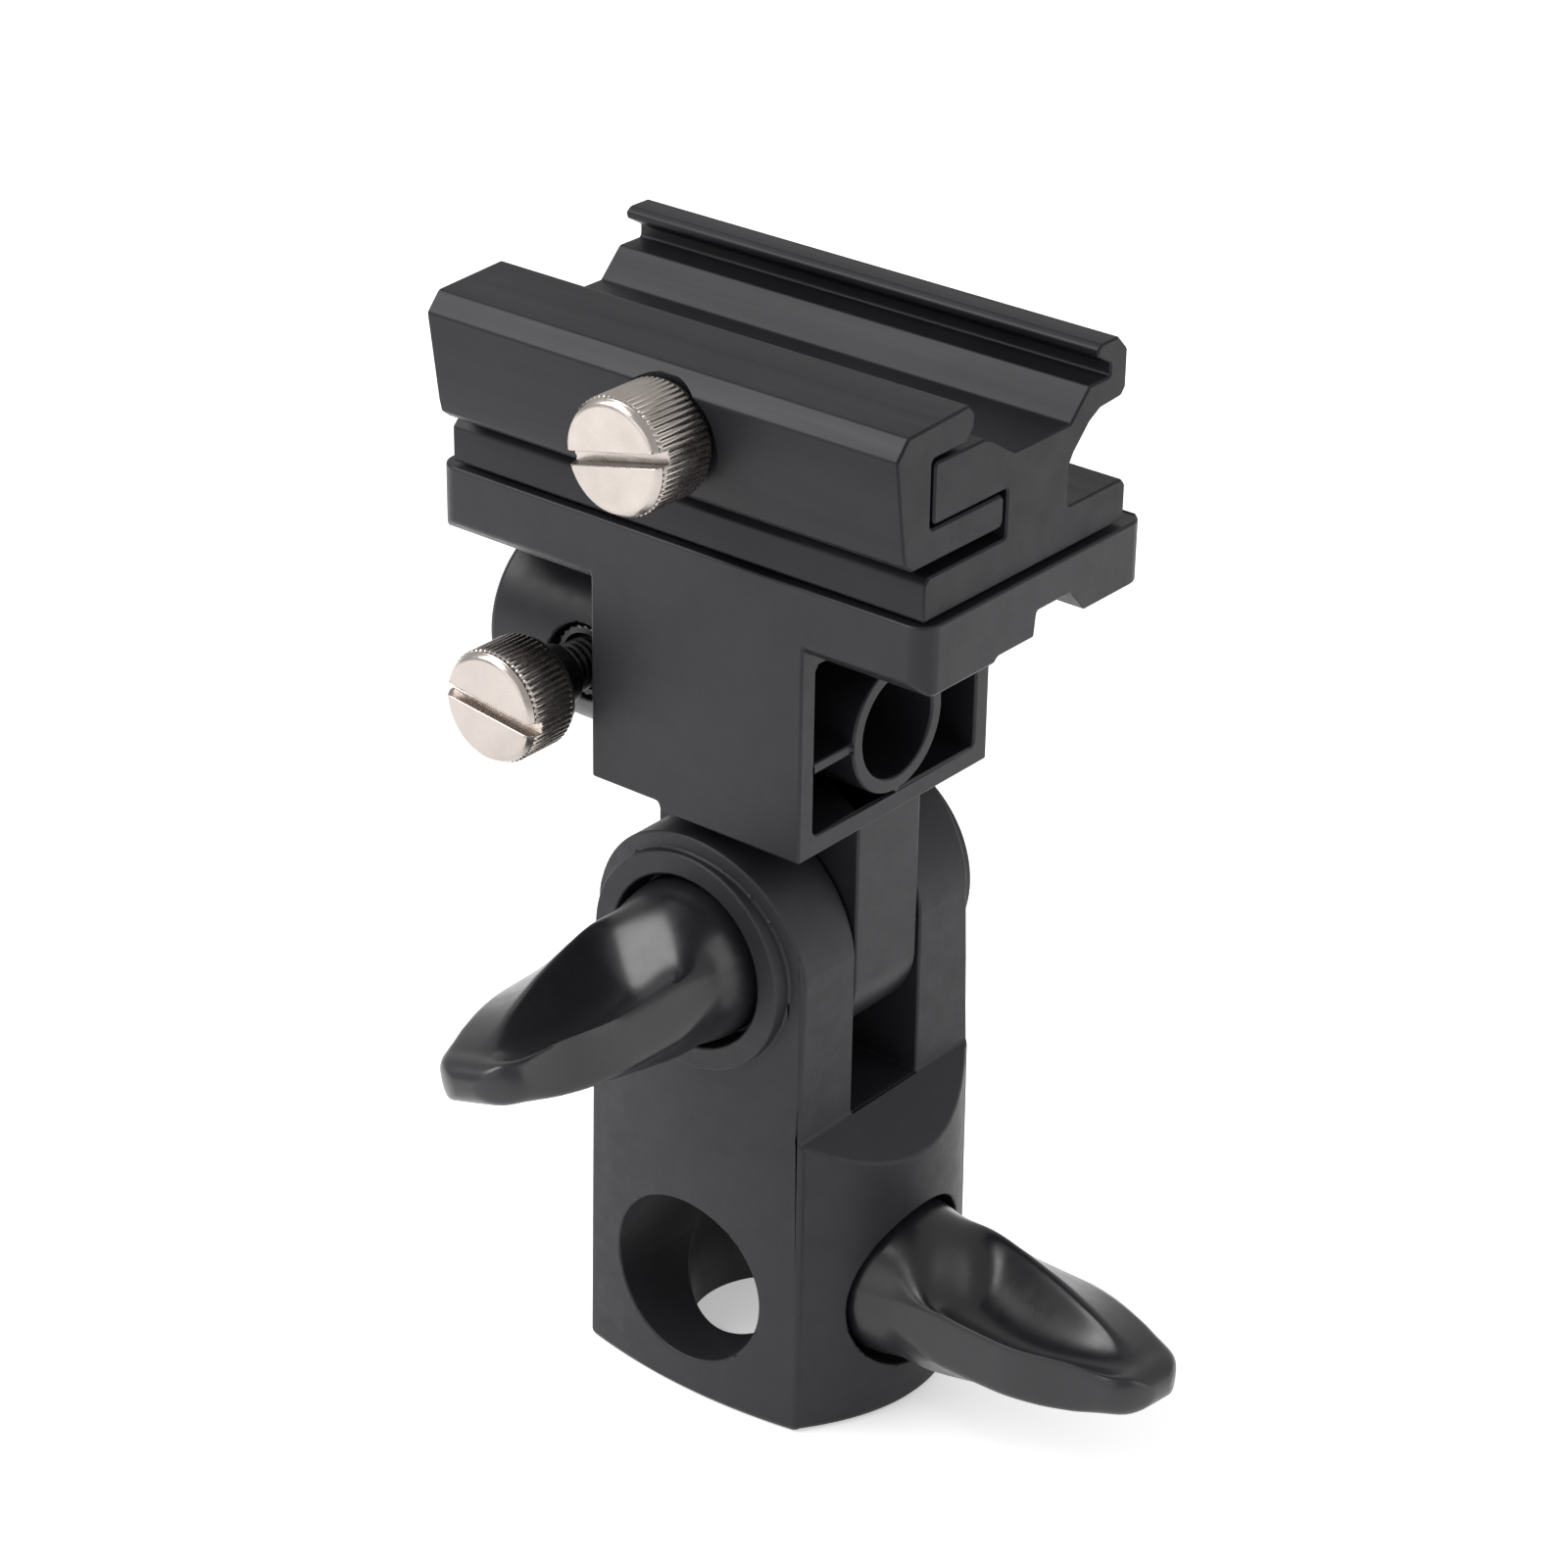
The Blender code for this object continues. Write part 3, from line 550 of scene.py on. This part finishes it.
def knob_section(along):
    """Half of a wing knob's section: near edge, scoop, slanting ridge, flatter facet, far edge."""
    width = knob_width(along)
    tip = PADDLE_EDGE - EDGE_THINNING * even(along, EDGE_TAPER_START, KNOB_LENGTH)
    middle = math.sin(math.pi * clamped((along - RIM_START) / RIM_LENGTH)) ** RIM_POWER
    near, far = tip - RIM_DIP * middle, tip + RIM_RISE * middle
    out = clamped((along - RIDGE_START) / RIDGE_LENGTH)
    ridge = RIDGE_FIRST + RIDGE_SHIFT * out
    crest = tip + (CREST_HEIGHT - tip) * (1 - out ** CREST_POWER)
    reach = clamped((along - SCOOP_START) / (SCOOP_END - SCOOP_START))
    scoop = near - (near + SCOOP_DEPTH) * math.sin(math.pi * reach)
    share = even(along, SCOOP_START, SCOOP_START + BLEND_LENGTH)
    over = max(0.0, along - (KNOB_LENGTH - TIP_ROUND))
    drop = TIP_ROUND - math.sqrt(max(TIP_ROUND ** 2 - over ** 2, 0.0))
    flare = HUB_FLARE * (1 - even(along, *FLARE_ENDS))
    collar = COLLAR_RADIUS + flare - HUB_EDGE * max(0.0, 1 - along / HUB_EDGE_LENGTH) ** 2
    turn = round((KNOB_POINTS - 1) * NEAR_SHARE)
    points = []
    for i in range(KNOB_POINTS):
        if i < turn:
            t = 1 - i / turn
            across = ridge + (1 - ridge) * t
            height = crest * (1 - t) ** 2 + 2 * scoop * t * (1 - t) + near * t * t
        else:
            t = (i - turn) / (KNOB_POINTS - 1 - turn)
            across = ridge - (1 + ridge) * t
            height = crest + (far - crest) * t - RIM_DIP * middle * t * (1 - t)
        angle = math.acos(max(min(across, 0.99), -0.99))
        a, b = collar * math.cos(angle), collar * math.sin(angle)
        a, b = a + share * (width * across - a), b + share * (height - b)
        points.append((a * (1 - drop / width), b * (1 - drop / tip)))
    return points


def softened(outline, passes):
    """The closed outline with its corners rounded, by averaging each point with its neighbours."""
    count = len(outline)
    for _ in range(passes):
        triples = [(outline[i - 1], outline[i], outline[(i + 1) % count]) for i in range(count)]
        outline = [tuple((p[k] + 2 * q[k] + r[k]) / 4 for k in (0, 1)) for p, q, r in triples]
    return outline


def knob_ring(along):
    """The whole section: both halves and the walls between them."""
    half = knob_section(along)
    other = [(-a, -b) for a, b in half]
    outline = []
    for first, second in ((half, other), (other, half)):
        start, end = first[-1], second[0]
        outline += first
        for i in range(1, WALL_POINTS):
            outline.append(tuple(start[k] + (end[k] - start[k]) * i / WALL_POINTS for k in (0, 1)))
    return softened(outline, SOFT_PASSES + round(TIP_PASSES * even(along, KNOB_LENGTH - 6, KNOB_LENGTH)))


def knob(name, place):
    """A wing knob, its sections placed by `place` from (along, across, height)."""
    stations = [0.0, 0.08, 0.2, 0.32, 0.45, 1.5, 2.3, 3.0, 3.8]
    stations += [SCOOP_START + 0.5 * i for i in range(51)]
    stations += [KNOB_LENGTH - TIP_ROUND * (1 - math.sin(math.radians(a))) for a in range(10, 90, 10)]
    stations += [KNOB_LENGTH - 0.004]
    return piece(name, loft([[place(along, a, b) for a, b in knob_ring(along)] for along in stations]))


def build_lock_knob():
    cos, sin = math.cos(LOCK_KNOB_ROLL), math.sin(LOCK_KNOB_ROLL)

    def place(along, a, b):
        return (LOCK_KNOB_X + along, -a * cos - b * sin, CROSS_Z - a * sin + b * cos)

    made = knob("stand_lock_knob_body", place)
    cut(made, turned("bore", "X", (0, CROSS_Z), ((10, KNOB_BORE), (20.7, KNOB_BORE)), SMALL))
    settle(shade(made, 50), "stand_lock", KNOB_BLACK, "stand_lock_knob")


def build_tilt_knob():
    cos, sin = math.cos(TILT_KNOB_ROLL), math.sin(TILT_KNOB_ROLL)
    face, pivot_at = TILT_KNOB_Y, (0, PIVOT_Z)

    def place(along, a, b):
        return (a * cos + b * sin, face - along, PIVOT_Z - a * sin + b * cos)

    made = knob("tilt_knob_body", place)
    cut(made, turned("bore", "Y", pivot_at, ((face - 8.2, KNOB_BORE), (-10, KNOB_BORE)), SMALL))
    cut(made, turned("seat", "Y", pivot_at, ((face - 6.3, INSERT_SEAT), (-10, INSERT_SEAT)), PLAIN))
    settle(shade(made, 50), "tilt_clamp", KNOB_BLACK, "tilt_knob")


# ---------------------------------------------------------------- screws, nuts and bushes

THREAD_DEPTH = 0.22
THREAD_SIDES = 40
THREAD_END, THREAD_END_DROP = 0.5, 0.35  # taper at the ends of a thread
THUMB_RADIUS = 5.3
THUMB_TEETH = 58
KNURL_DEPTH = 0.19
CORE_INSET = 0.22
SLOT_DEPTH = 1.4
SLOT_CORNERS = ((-7, -0.6), (7, -0.6), (7, 0.6), (-7, 0.6))
SHOE_SCREW_STEPS = ((78.9, 2.45), (78.96, 2.65), (79.15, 2.85), (79.3, 2.9), (81.1, 2.9), (81.1, 1.95),
                    (82.4, 1.95), (82.6, 1.7))
LOCK_BUSH_PROFILE = ((9.1, 3.25), (9.1, 4.45), (9.25, 4.6), (11.5, 4.6), (11.5, 7.3), (11.6, 7.4),
                     (12.1, 7.4), (12.2, 7.3), (12.2, 3.4), (12.05, 3.25))


def fluted(radius, depth, teeth, centre):
    """The outline of a knurled or fluted rim."""
    outline = []
    for i in range(4 * teeth):
        a = 2 * math.pi * (i + 0.5) / (4 * teeth)
        r = radius - depth * (0.0, 0.35, 1.0, 0.35)[i % 4]
        outline.append((centre[0] + r * math.cos(a), centre[1] + r * math.sin(a)))
    return outline


def threaded(name, axis, centre, start, end, radius, pitch):
    """A screw thread as a real helix, its ends tapered."""
    steps = max(8, round((end - start) / pitch * 6))
    rings = []
    for k in range(steps + 1):
        along = start + (end - start) * k / steps
        taper = min(1.0, (along - start) / THREAD_END, (end - along) / THREAD_END)
        shape = []
        for i in range(THREAD_SIDES):
            a = 2 * math.pi * i / THREAD_SIDES
            phase = (along / pitch - i / THREAD_SIDES) % 1.0
            r = radius - THREAD_DEPTH * abs(2 * phase - 1) - THREAD_END_DROP * (1 - max(taper, 0.0))
            shape.append(point(axis, along, centre[0] + r * math.cos(a), centre[1] + r * math.sin(a)))
        rings.append(shape)
    return piece(name, loft(rings))


def thumb_screw(name, body, node, centre, face, head, neck, shank, tip, turn, pitch):
    """A knurled, slotted thumb screw along Y, its slotted face on the near side.

    `neck` is (length, radius) of the plain part under the head, and `turn` is the slot's angle in degrees.
    """
    back = face + head
    core = THUMB_RADIUS - CORE_INSET
    rings = []
    for along, drop in ((face + 0.55, 0.34), (face + 0.95, 0.0), (back - 0.75, 0.0), (back - 0.4, 0.34)):
        rim = fluted(THUMB_RADIUS - drop, KNURL_DEPTH * (1 - drop), THUMB_TEETH, centre)
        rings.append([point("Y", along, u, v) for u, v in rim])
    made = piece(name, loft(rings))
    profile = ((face, core - 0.75), (face + 0.06, core - 0.45), (face + 0.22, core - 0.2),
               (face + 0.5, core - 0.08), (face + 0.6, core), (back - 0.45, core), (back - 0.15, core - 0.1),
               (back, core - 0.3))
    add(made, turned(name + "_core", "Y", centre, profile, FINE))
    c, s = math.cos(math.radians(turn)), math.sin(math.radians(turn))
    slot = [(centre[0] + u * c - v * s, centre[1] + u * s + v * c) for u, v in SLOT_CORNERS]
    cut(made, prism(name + "_slot", "Y", slot, face - 1, face + SLOT_DEPTH))
    metal = nickel(name + "_nickel", (centre[0], 0, centre[1]))
    settle(soften(made, 0.07, 40, 2), body, metal, node)
    steel = black_steel(name + "_steel", (centre[0], 0, centre[1]), "Y")
    length, wide = neck
    profile = ((back - 0.5, wide - 0.2), (back + 0.3, wide), (back + length - 0.3, wide),
               (back + length, wide - 0.3))
    settle(shade(turned(name + "_neck", "Y", centre, profile, PLAIN)), body, steel, slot=node)
    shaft = threaded(name + "_thread", "Y", centre, back + length - 0.2, tip, shank, pitch)
    settle(shade(shaft, 50), body, steel, slot=node)


def washer(name, body, node, axis, outline, bore, start, end, metal, edge=0.12):
    """A round or fluted insert with a hole, its rims chamfered."""
    centre = (sum(p[0] for p in outline) / len(outline), sum(p[1] for p in outline) / len(outline))
    made = extrusion(name, axis, outline, start, end, edge)
    cut(made, turned(name + "_hole", axis, centre, ((start - 2, bore), (end + 2, bore)), PLAIN))
    settle(shade(made, 35), body, metal, node)


def build_stand_lock_parts():
    lock = (0, CROSS_Z)
    made = ring("stand_lock_bush_ring", "X", lock, LOCK_BUSH_PROFILE, FINE)
    settle(shade(made, 30), "stand", dark_brass("bush_brass", (0, 0, CROSS_Z), "X"), "stand_lock_bush")
    stud = threaded("stand_lock_stud_thread", "X", lock, 7.0, 20.3, 2.9, 1.0)
    settle(shade(stud, 50), "stand_lock", zinc("stud_zinc", (0, 0, CROSS_Z), "X"), "stand_lock_stud")


def build_tilt_parts():
    pivot_at = (0, PIVOT_Z)
    steel = zinc("bolt_zinc", (0, 0, PIVOT_Z), "Y")
    head = extrusion("tilt_bolt_head", "Y", circle(5.75, pivot_at, 6), 10.1, 14.0, 0.3)
    add(head, turned("bolt_shank", "Y", pivot_at, ((-9.0, 2.85), (11.0, 2.85)), PLAIN))
    settle(soften(head, 0.12, 30, 2), "stand", steel, "tilt_bolt")
    shaft = threaded("tilt_bolt_thread", "Y", pivot_at, -19.0, -8.8, 2.85, 1.0)
    settle(shade(shaft, 50), "stand", steel, slot="tilt_bolt")
    rim = circle(5.9, pivot_at, ROUND)
    washer("tilt_washer_ring", "stand", "tilt_washer", "Y", rim, 3.2, -10.95, -10.65, steel, 0.06)
    brass = dark_brass("insert_brass", (0, 0, PIVOT_Z), "Y")
    rim = fluted(4.6, 0.3, 24, pivot_at)
    washer("tilt_knob_insert", "tilt_clamp", "tilt_knob_nut", "Y", rim, 3.15, -17.2, -11.3, brass, 0.25)
    rim = circle(8.6, pivot_at, FINE)
    for side, start in (("near", -4.55), ("far", 3.85)):
        node = f"friction_disc_{side}"
        washer(node + "_ring", "head", node, "Y", rim, 3.4, start, start + 0.7, NYLON, 0.1)


def build_thumb_screws():
    at = (SCREW_X, TUBE_Z)
    steel = black_steel("umbrella_bush_steel", (SCREW_X, 0, TUBE_Z), "Y")
    rim = fluted(3.4, 0.2, 24, at)
    washer("umbrella_bush_ring", "head", "umbrella_lock_bush", "Y", rim, 2.7, -8.0, -5.1, steel)
    thumb_screw("umbrella_thumb_screw", "umbrella_lock", "umbrella_lock_screw", at, face=-21.0, head=6.1,
                neck=(3.6, 2.9), shank=2.35, tip=-5.0, turn=-7, pitch=0.8)
    thumb_screw("jaw_thumb_screw", "jaw_screw", "jaw_lock_screw", (0, JAW_SCREW_Z), face=-23.6, head=7.1,
                neck=(0.2, 2.2), shank=1.95, tip=-5.7, turn=13, pitch=0.7)


def build_shoe_screw(side, x):
    """A cap screw driven up into the rail from under the flange, and its washer."""
    at = (x, SHOE_SCREW_Y)
    metal = black_steel(f"shoe_screw_{side}_steel", (x, SHOE_SCREW_Y, 0), "Z")
    made = turned(f"shoe_screw_{side}_head", "Z", at, SHOE_SCREW_STEPS, ROUND)
    cut(made, prism("drive", "Z", circle(1.5, at, 6), 77, 80.2))
    settle(soften(made, 0.06, 35, 2), "head", metal, f"shoe_screw_{side}")
    shaft = threaded(f"shoe_screw_{side}_thread", "Z", at, 82.3, 93.0, 1.95, 0.7)
    settle(shade(shaft, 50), "head", metal, slot=f"shoe_screw_{side}")
    metal = zinc(f"washer_{side}_zinc", (x, SHOE_SCREW_Y, 0), "Z")
    node = f"shoe_washer_{side}"
    washer(node + "_ring", "head", node, "Z", circle(3.5, at, ROUND), 2.2, 81.4, 81.9, metal, 0.08)


# ---------------------------------------------------------------- holder

FLANGE_X = (-29.1, 25.2)
FLANGE_Y = (-13.6, 17.8)
FLANGE_LOW, FLANGE_TOP = 79.15, 85.05
BOX_X = (-11.1, 12.4)
BOX_Y = (-13.6, 13.3)
BOX_FLOOR = 59.1
TANG_X = (-11.1, 11.8)
TANG_HALF = 4.45
TANG_BOTTOM = 34.3
TANG_ROUND_Z = 43.0
TANG_TOP = 60.6
BOX_WALL = 1.95
PLAN_STEPS = 10
PLAN_RADIUS = 2.0
TUBE_RADIUS = 6.3
TUBE_BORE = 4.9
RIB_HALF = 0.55
WEB_HALF = 1.5
DISC_POCKET_RADIUS = 9.0
DISC_POCKET_DEPTH = 0.9
BUSH_HOLE = 3.7
SHOE_SCREW_HOLE = 2.3
HEAD_POCKET_RADIUS = 3.55
HEAD_POCKET_Z = (77.5, 82.2)


def rounded_rectangle(x, y):
    """The flange's plan."""
    radius = PLAN_RADIUS
    outline = []
    for cx, cy, start in ((x[1], y[1], 0), (x[0], y[1], 90), (x[0], y[0], 180), (x[1], y[0], 270)):
        mx = cx - math.copysign(radius, cx - sum(x) / 2)
        my = cy - math.copysign(radius, cy - sum(y) / 2)
        for i in range(PLAN_STEPS + 1):
            a = math.radians(start + 90 * i / PLAN_STEPS)
            outline.append((mx + radius * math.cos(a), my + radius * math.sin(a)))
    return outline


def flange_outline():
    """The flange's section across the shoe, with the groove and the lip under it."""
    low, high = FLANGE_LOW, FLANGE_TOP
    near, far = FLANGE_Y
    return ((near, high), (near, low + 0.6), (near + 1.0, low - 0.45), (-3.9, low - 0.45), (-3.4, low),
            (1.7, low), (2.0, low + 2.3), (6.8, low + 2.3), (9.0, low), (far - 0.8, low), (far, low + 0.7),
            (far, high - 0.3), (far - 0.4, high))


def tang_outline():
    """The tang from the near side: straight edges and a round lower end."""
    outline = [(TANG_X[1], TANG_TOP)]
    middle, reach = sum(TANG_X) / 2, (TANG_X[1] - TANG_X[0]) / 2
    for step in range(0, 181, 4):
        a = math.radians(step)
        drop = (TANG_ROUND_Z - TANG_BOTTOM) * math.sin(a)
        outline.append((middle + reach * math.cos(a), TANG_ROUND_Z - drop))
    return outline + [(TANG_X[0], TANG_TOP)]


def build_tang():
    half, bottom = TANG_HALF, TANG_BOTTOM
    sides = ((half, 61.0), (-half, 61.0), (-half, bottom + 3.0), (-half + 1.2, bottom + 0.9),
             (-half + 3.0, bottom - 0.2), (half - 3.0, bottom - 0.2), (half - 1.2, bottom + 0.9),
             (half, bottom + 3.0))
    tang = prism("tang", "Y", tang_outline(), -half, half)
    combine(tang, "INTERSECT", prism("sides", "X", fillet(sides, 1.2), -PAST, PAST))
    return tang


def add_box(holder):
    """The open box under the flange, with the umbrella tube and its rib inside."""
    top, low = FLANGE_LOW + 2, BOX_FLOOR
    side = ((BOX_X[0], top), (BOX_X[0], low + 0.8), (-3.5, low + 0.8), (-3.2, low), (BOX_X[1], low),
            (BOX_X[1], top))
    add(holder, prism("box", "Y", side, *BOX_Y))
    near, far = BOX_Y[0] + BOX_WALL, BOX_Y[1] - BOX_WALL
    hollow = [(near, low + 2), (far, low + 2), (far, 77.2), (near, 77.2)]
    cut(holder, prism("hollow", "X", fillet(hollow, 0.7), -7.5, PAST))
    add(holder, turned("tube", "X", (0, TUBE_Z), ((-8.5, TUBE_RADIUS), (BOX_X[1], TUBE_RADIUS)), ROUND))
    down, up = TUBE_Z - RIB_HALF, TUBE_Z + RIB_HALF
    rib = [(near - 1, down), (-5.5, down), (-5.5, up), (near - 1, up)]
    add(holder, prism("rib", "X", rib, -8.5, BOX_X[1] - 0.2))


def build_holder():
    tube, pivot_at = (0, TUBE_Z), (0, PIVOT_Z)
    holder = prism("umbrella_holder_shell", "X", flange_outline(), *FLANGE_X)
    combine(holder, "INTERSECT", prism("plan", "Z", rounded_rectangle(FLANGE_X, FLANGE_Y), 70, 90))
    add_box(holder)
    boss = ((-27.6, 8.5), (-27.45, 8.72), (-27.1, 9.0), (BOX_X[0] + 1, 9.0))
    add(holder, turned("boss", "X", tube, boss, FINE))
    web = [(-WEB_HALF, 75.0), (WEB_HALF, 75.0), (WEB_HALF, 80.0), (-WEB_HALF, 80.0)]
    add(holder, prism("web", "X", web, -26.6, BOX_X[0] + 1))
    add(holder, build_tang())
    cut(holder, turned("tube_bore", "X", tube, ((-30, TUBE_BORE), (PAST, TUBE_BORE)), ROUND))
    cut(holder, turned("tang_bore", "Y", pivot_at, ((-8, BOLT_HOLE), (8, BOLT_HOLE)), PLAIN))
    deep, wide = TANG_HALF - DISC_POCKET_DEPTH, DISC_POCKET_RADIUS
    cut(holder, turned("near_pocket", "Y", pivot_at, ((-8, wide), (-deep, wide)), ROUND))
    cut(holder, turned("far_pocket", "Y", pivot_at, ((deep, wide), (8, wide)), ROUND))
    cut(holder, turned("bush_hole", "Y", (SCREW_X, TUBE_Z), ((-10, BUSH_HOLE), (-1, BUSH_HOLE)), PLAIN))
    for _, x in SHOE_SCREWS:
        at = (x, SHOE_SCREW_Y)
        cut(holder, turned("flange_hole", "Z", at, ((70, SHOE_SCREW_HOLE), (90, SHOE_SCREW_HOLE)), SMALL))
        cut(holder, turned("head_pocket", "Z", at, [(z, HEAD_POCKET_RADIUS) for z in HEAD_POCKET_Z], PLAIN))
    settle(soften(holder, 0.24), "head", HOLDER_BLACK, "umbrella_holder")


# ---------------------------------------------------------------- shoe

RAIL_ENDS = (-27.6, 24.5)
JAW_ENDS = (-26.6, 24.4)
RAIL_HOLE = 2.25
JAW_HOLE = 2.4
SPOT_FACE_RADIUS = 5.4
# Sections of the two extrusions, as (Y, Z).
RAIL_OUTLINE = (
    (-13.1, 85.35), (15.2, 85.35), (15.2, 88.7), (14.6, 89.3), (6.7, 89.3), (6.7, 93.0), (7.3, 94.0),
    (8.3, 95.0), (9.4, 96.1), (10.9, 96.9), (13.9, 97.1), (14.5, 97.8), (14.5, 101.3), (13.1, 102.7),
    (10.7, 102.7), (10.1, 102.3), (10.2, 101.7), (12.1, 100.6), (12.1, 99.4), (9.2, 99.4),
    (6.6, FLOOR_Z), (-1.2, FLOOR_Z), (-4.4, 98.8), (-5.4, 99.2), (-11.8, 99.2), (-12.1, 98.9),
    (-12.1, 94.1), (-11.8, 93.75), (-2.0, 93.75), (-2.0, 89.3), (-12.5, 89.3), (-13.1, 88.7),
)
JAW_OUTLINE = (
    (-14.6, 90.4), (-2.8, 90.4), (-2.35, 90.9), (-2.35, 93.0), (-2.7, 93.4), (-12.4, 93.4),
    (-12.4, 99.55), (-7.9, 99.6), (-6.9, 100.7), (-6.8, 101.9), (-7.6, 102.8), (-15.6, 102.4),
    (-17.1, 100.7), (-15.9, 92.4), (-15.6, 91.2),
)


def build_shoe():
    rail = extrusion("shoe_rail_bar", "X", fillet(RAIL_OUTLINE, 0.4), *RAIL_ENDS, 0.18)
    for _, x in SHOE_SCREWS:
        cut(rail, turned("screw_hole", "Z", (x, SHOE_SCREW_Y), ((80, RAIL_HOLE), (93.4, RAIL_HOLE)), SMALL))
    at = (0, JAW_SCREW_Z)
    cut(rail, turned("jaw_thread", "Y", at, ((-14, RAIL_HOLE), (-5.2, RAIL_HOLE)), SMALL))
    settle(shade(rail, 28), "head", EXTRUSION_BLACK, "shoe_rail")
    jaw = extrusion("shoe_jaw_bar", "X", fillet(JAW_OUTLINE, 0.5), *JAW_ENDS, 0.2)
    cut(jaw, turned("screw_hole", "Y", at, ((-20, JAW_HOLE), (-10, JAW_HOLE)), SMALL))
    cut(jaw, turned("spot_face", "Y", at, ((-20, SPOT_FACE_RADIUS), (-16.2, SPOT_FACE_RADIUS)), ROUND))
    settle(shade(jaw, 28), "jaw", EXTRUSION_BLACK, "shoe_jaw")


# ---------------------------------------------------------------- studio

FLOOR_REACH = 3.0
FLOOR_GLOW = 0.4
WORLD_STRENGTH = 0.7
CAMERA_LENS = 99.08
CAMERA_AT = (214.43, -268.77, 233.41)
CAMERA_RIGHT = (0.77666, 0.62974, 0.01465)
CAMERA_UP = (-0.29697, 0.34554, 0.89016)
CAMERA_BACK = (0.55551, -0.69571, 0.45539)


def build_floor():
    bm = bmesh.new()
    reach = FLOOR_REACH
    for x, y in ((-reach, -reach), (reach, -reach), (reach, reach), (-reach, reach)):
        bm.verts.new((x, y, 0))
    bm.faces.new(bm.verts)
    mesh = bpy.data.meshes.new("floor")
    bm.to_mesh(mesh)
    bm.free()
    floor = bpy.data.objects.new("floor", mesh)
    bpy.context.scene.collection.objects.link(floor)
    paper, tree, shader = nodes_of("paper")
    speck = noise(tree, coordinates(tree, (1, 1, 1)), 40, 3, 0.5)
    tree.links.new(ramp(tree, speck, (0.90, 0.90, 0.90), (0.93, 0.93, 0.93)), shader.inputs["Base Color"])
    shader.inputs["Roughness"].default_value = 0.9
    shader.inputs["Specular IOR Level"].default_value = 0.1
    shader.inputs["Emission Color"].default_value = (1, 1, 1, 1)
    shader.inputs["Emission Strength"].default_value = FLOOR_GLOW
    dress(floor, paper)


def light(name, place, target, size, power):
    data = bpy.data.lights.new(name, "AREA")
    data.shape = "RECTANGLE"
    data.size, data.size_y = size
    data.energy = power
    made = bpy.data.objects.new(name, data)
    bpy.context.scene.collection.objects.link(made)
    made.location = place
    made.rotation_mode = "QUATERNION"
    made.rotation_quaternion = (Vector(target) - Vector(place)).to_track_quat("-Z", "Y")


def build_studio():
    build_floor()
    middle = (0, 0, 0.055)
    light("key", (-0.45, -0.45, 0.75), middle, (0.6, 0.6), power=9.0)
    light("side", (0.75, 0.25, 0.35), middle, (0.5, 0.7), power=1.8)
    light("front", (-0.1, -0.9, 0.35), middle, (0.8, 0.5), power=1.6)
    world = bpy.data.worlds.new("studio")
    bpy.context.scene.world = world
    world.use_nodes = True
    background = world.node_tree.nodes["Background"]
    background.inputs["Color"].default_value = (1, 1, 1, 1)
    background.inputs["Strength"].default_value = WORLD_STRENGTH
    bpy.context.scene.view_settings.view_transform = "Standard"


def build_camera():
    data = bpy.data.cameras.new("camera")
    data.lens = CAMERA_LENS
    data.sensor_width = 36
    data.clip_start, data.clip_end = 0.01, 20
    camera = bpy.data.objects.new("camera", data)
    bpy.context.scene.collection.objects.link(camera)
    turn = Matrix((CAMERA_RIGHT, CAMERA_UP, CAMERA_BACK)).transposed()
    camera.matrix_world = Matrix.Translation(row_frame(*CAMERA_AT)) @ turn.to_4x4()
    bpy.context.scene.camera = camera


build_stand_body()
build_lock_knob()
build_tilt_knob()
build_stand_lock_parts()
build_tilt_parts()
build_thumb_screws()
for side, x in SHOE_SCREWS:
    build_shoe_screw(side, x)
build_holder()
build_shoe()
build_camera()
build_studio()
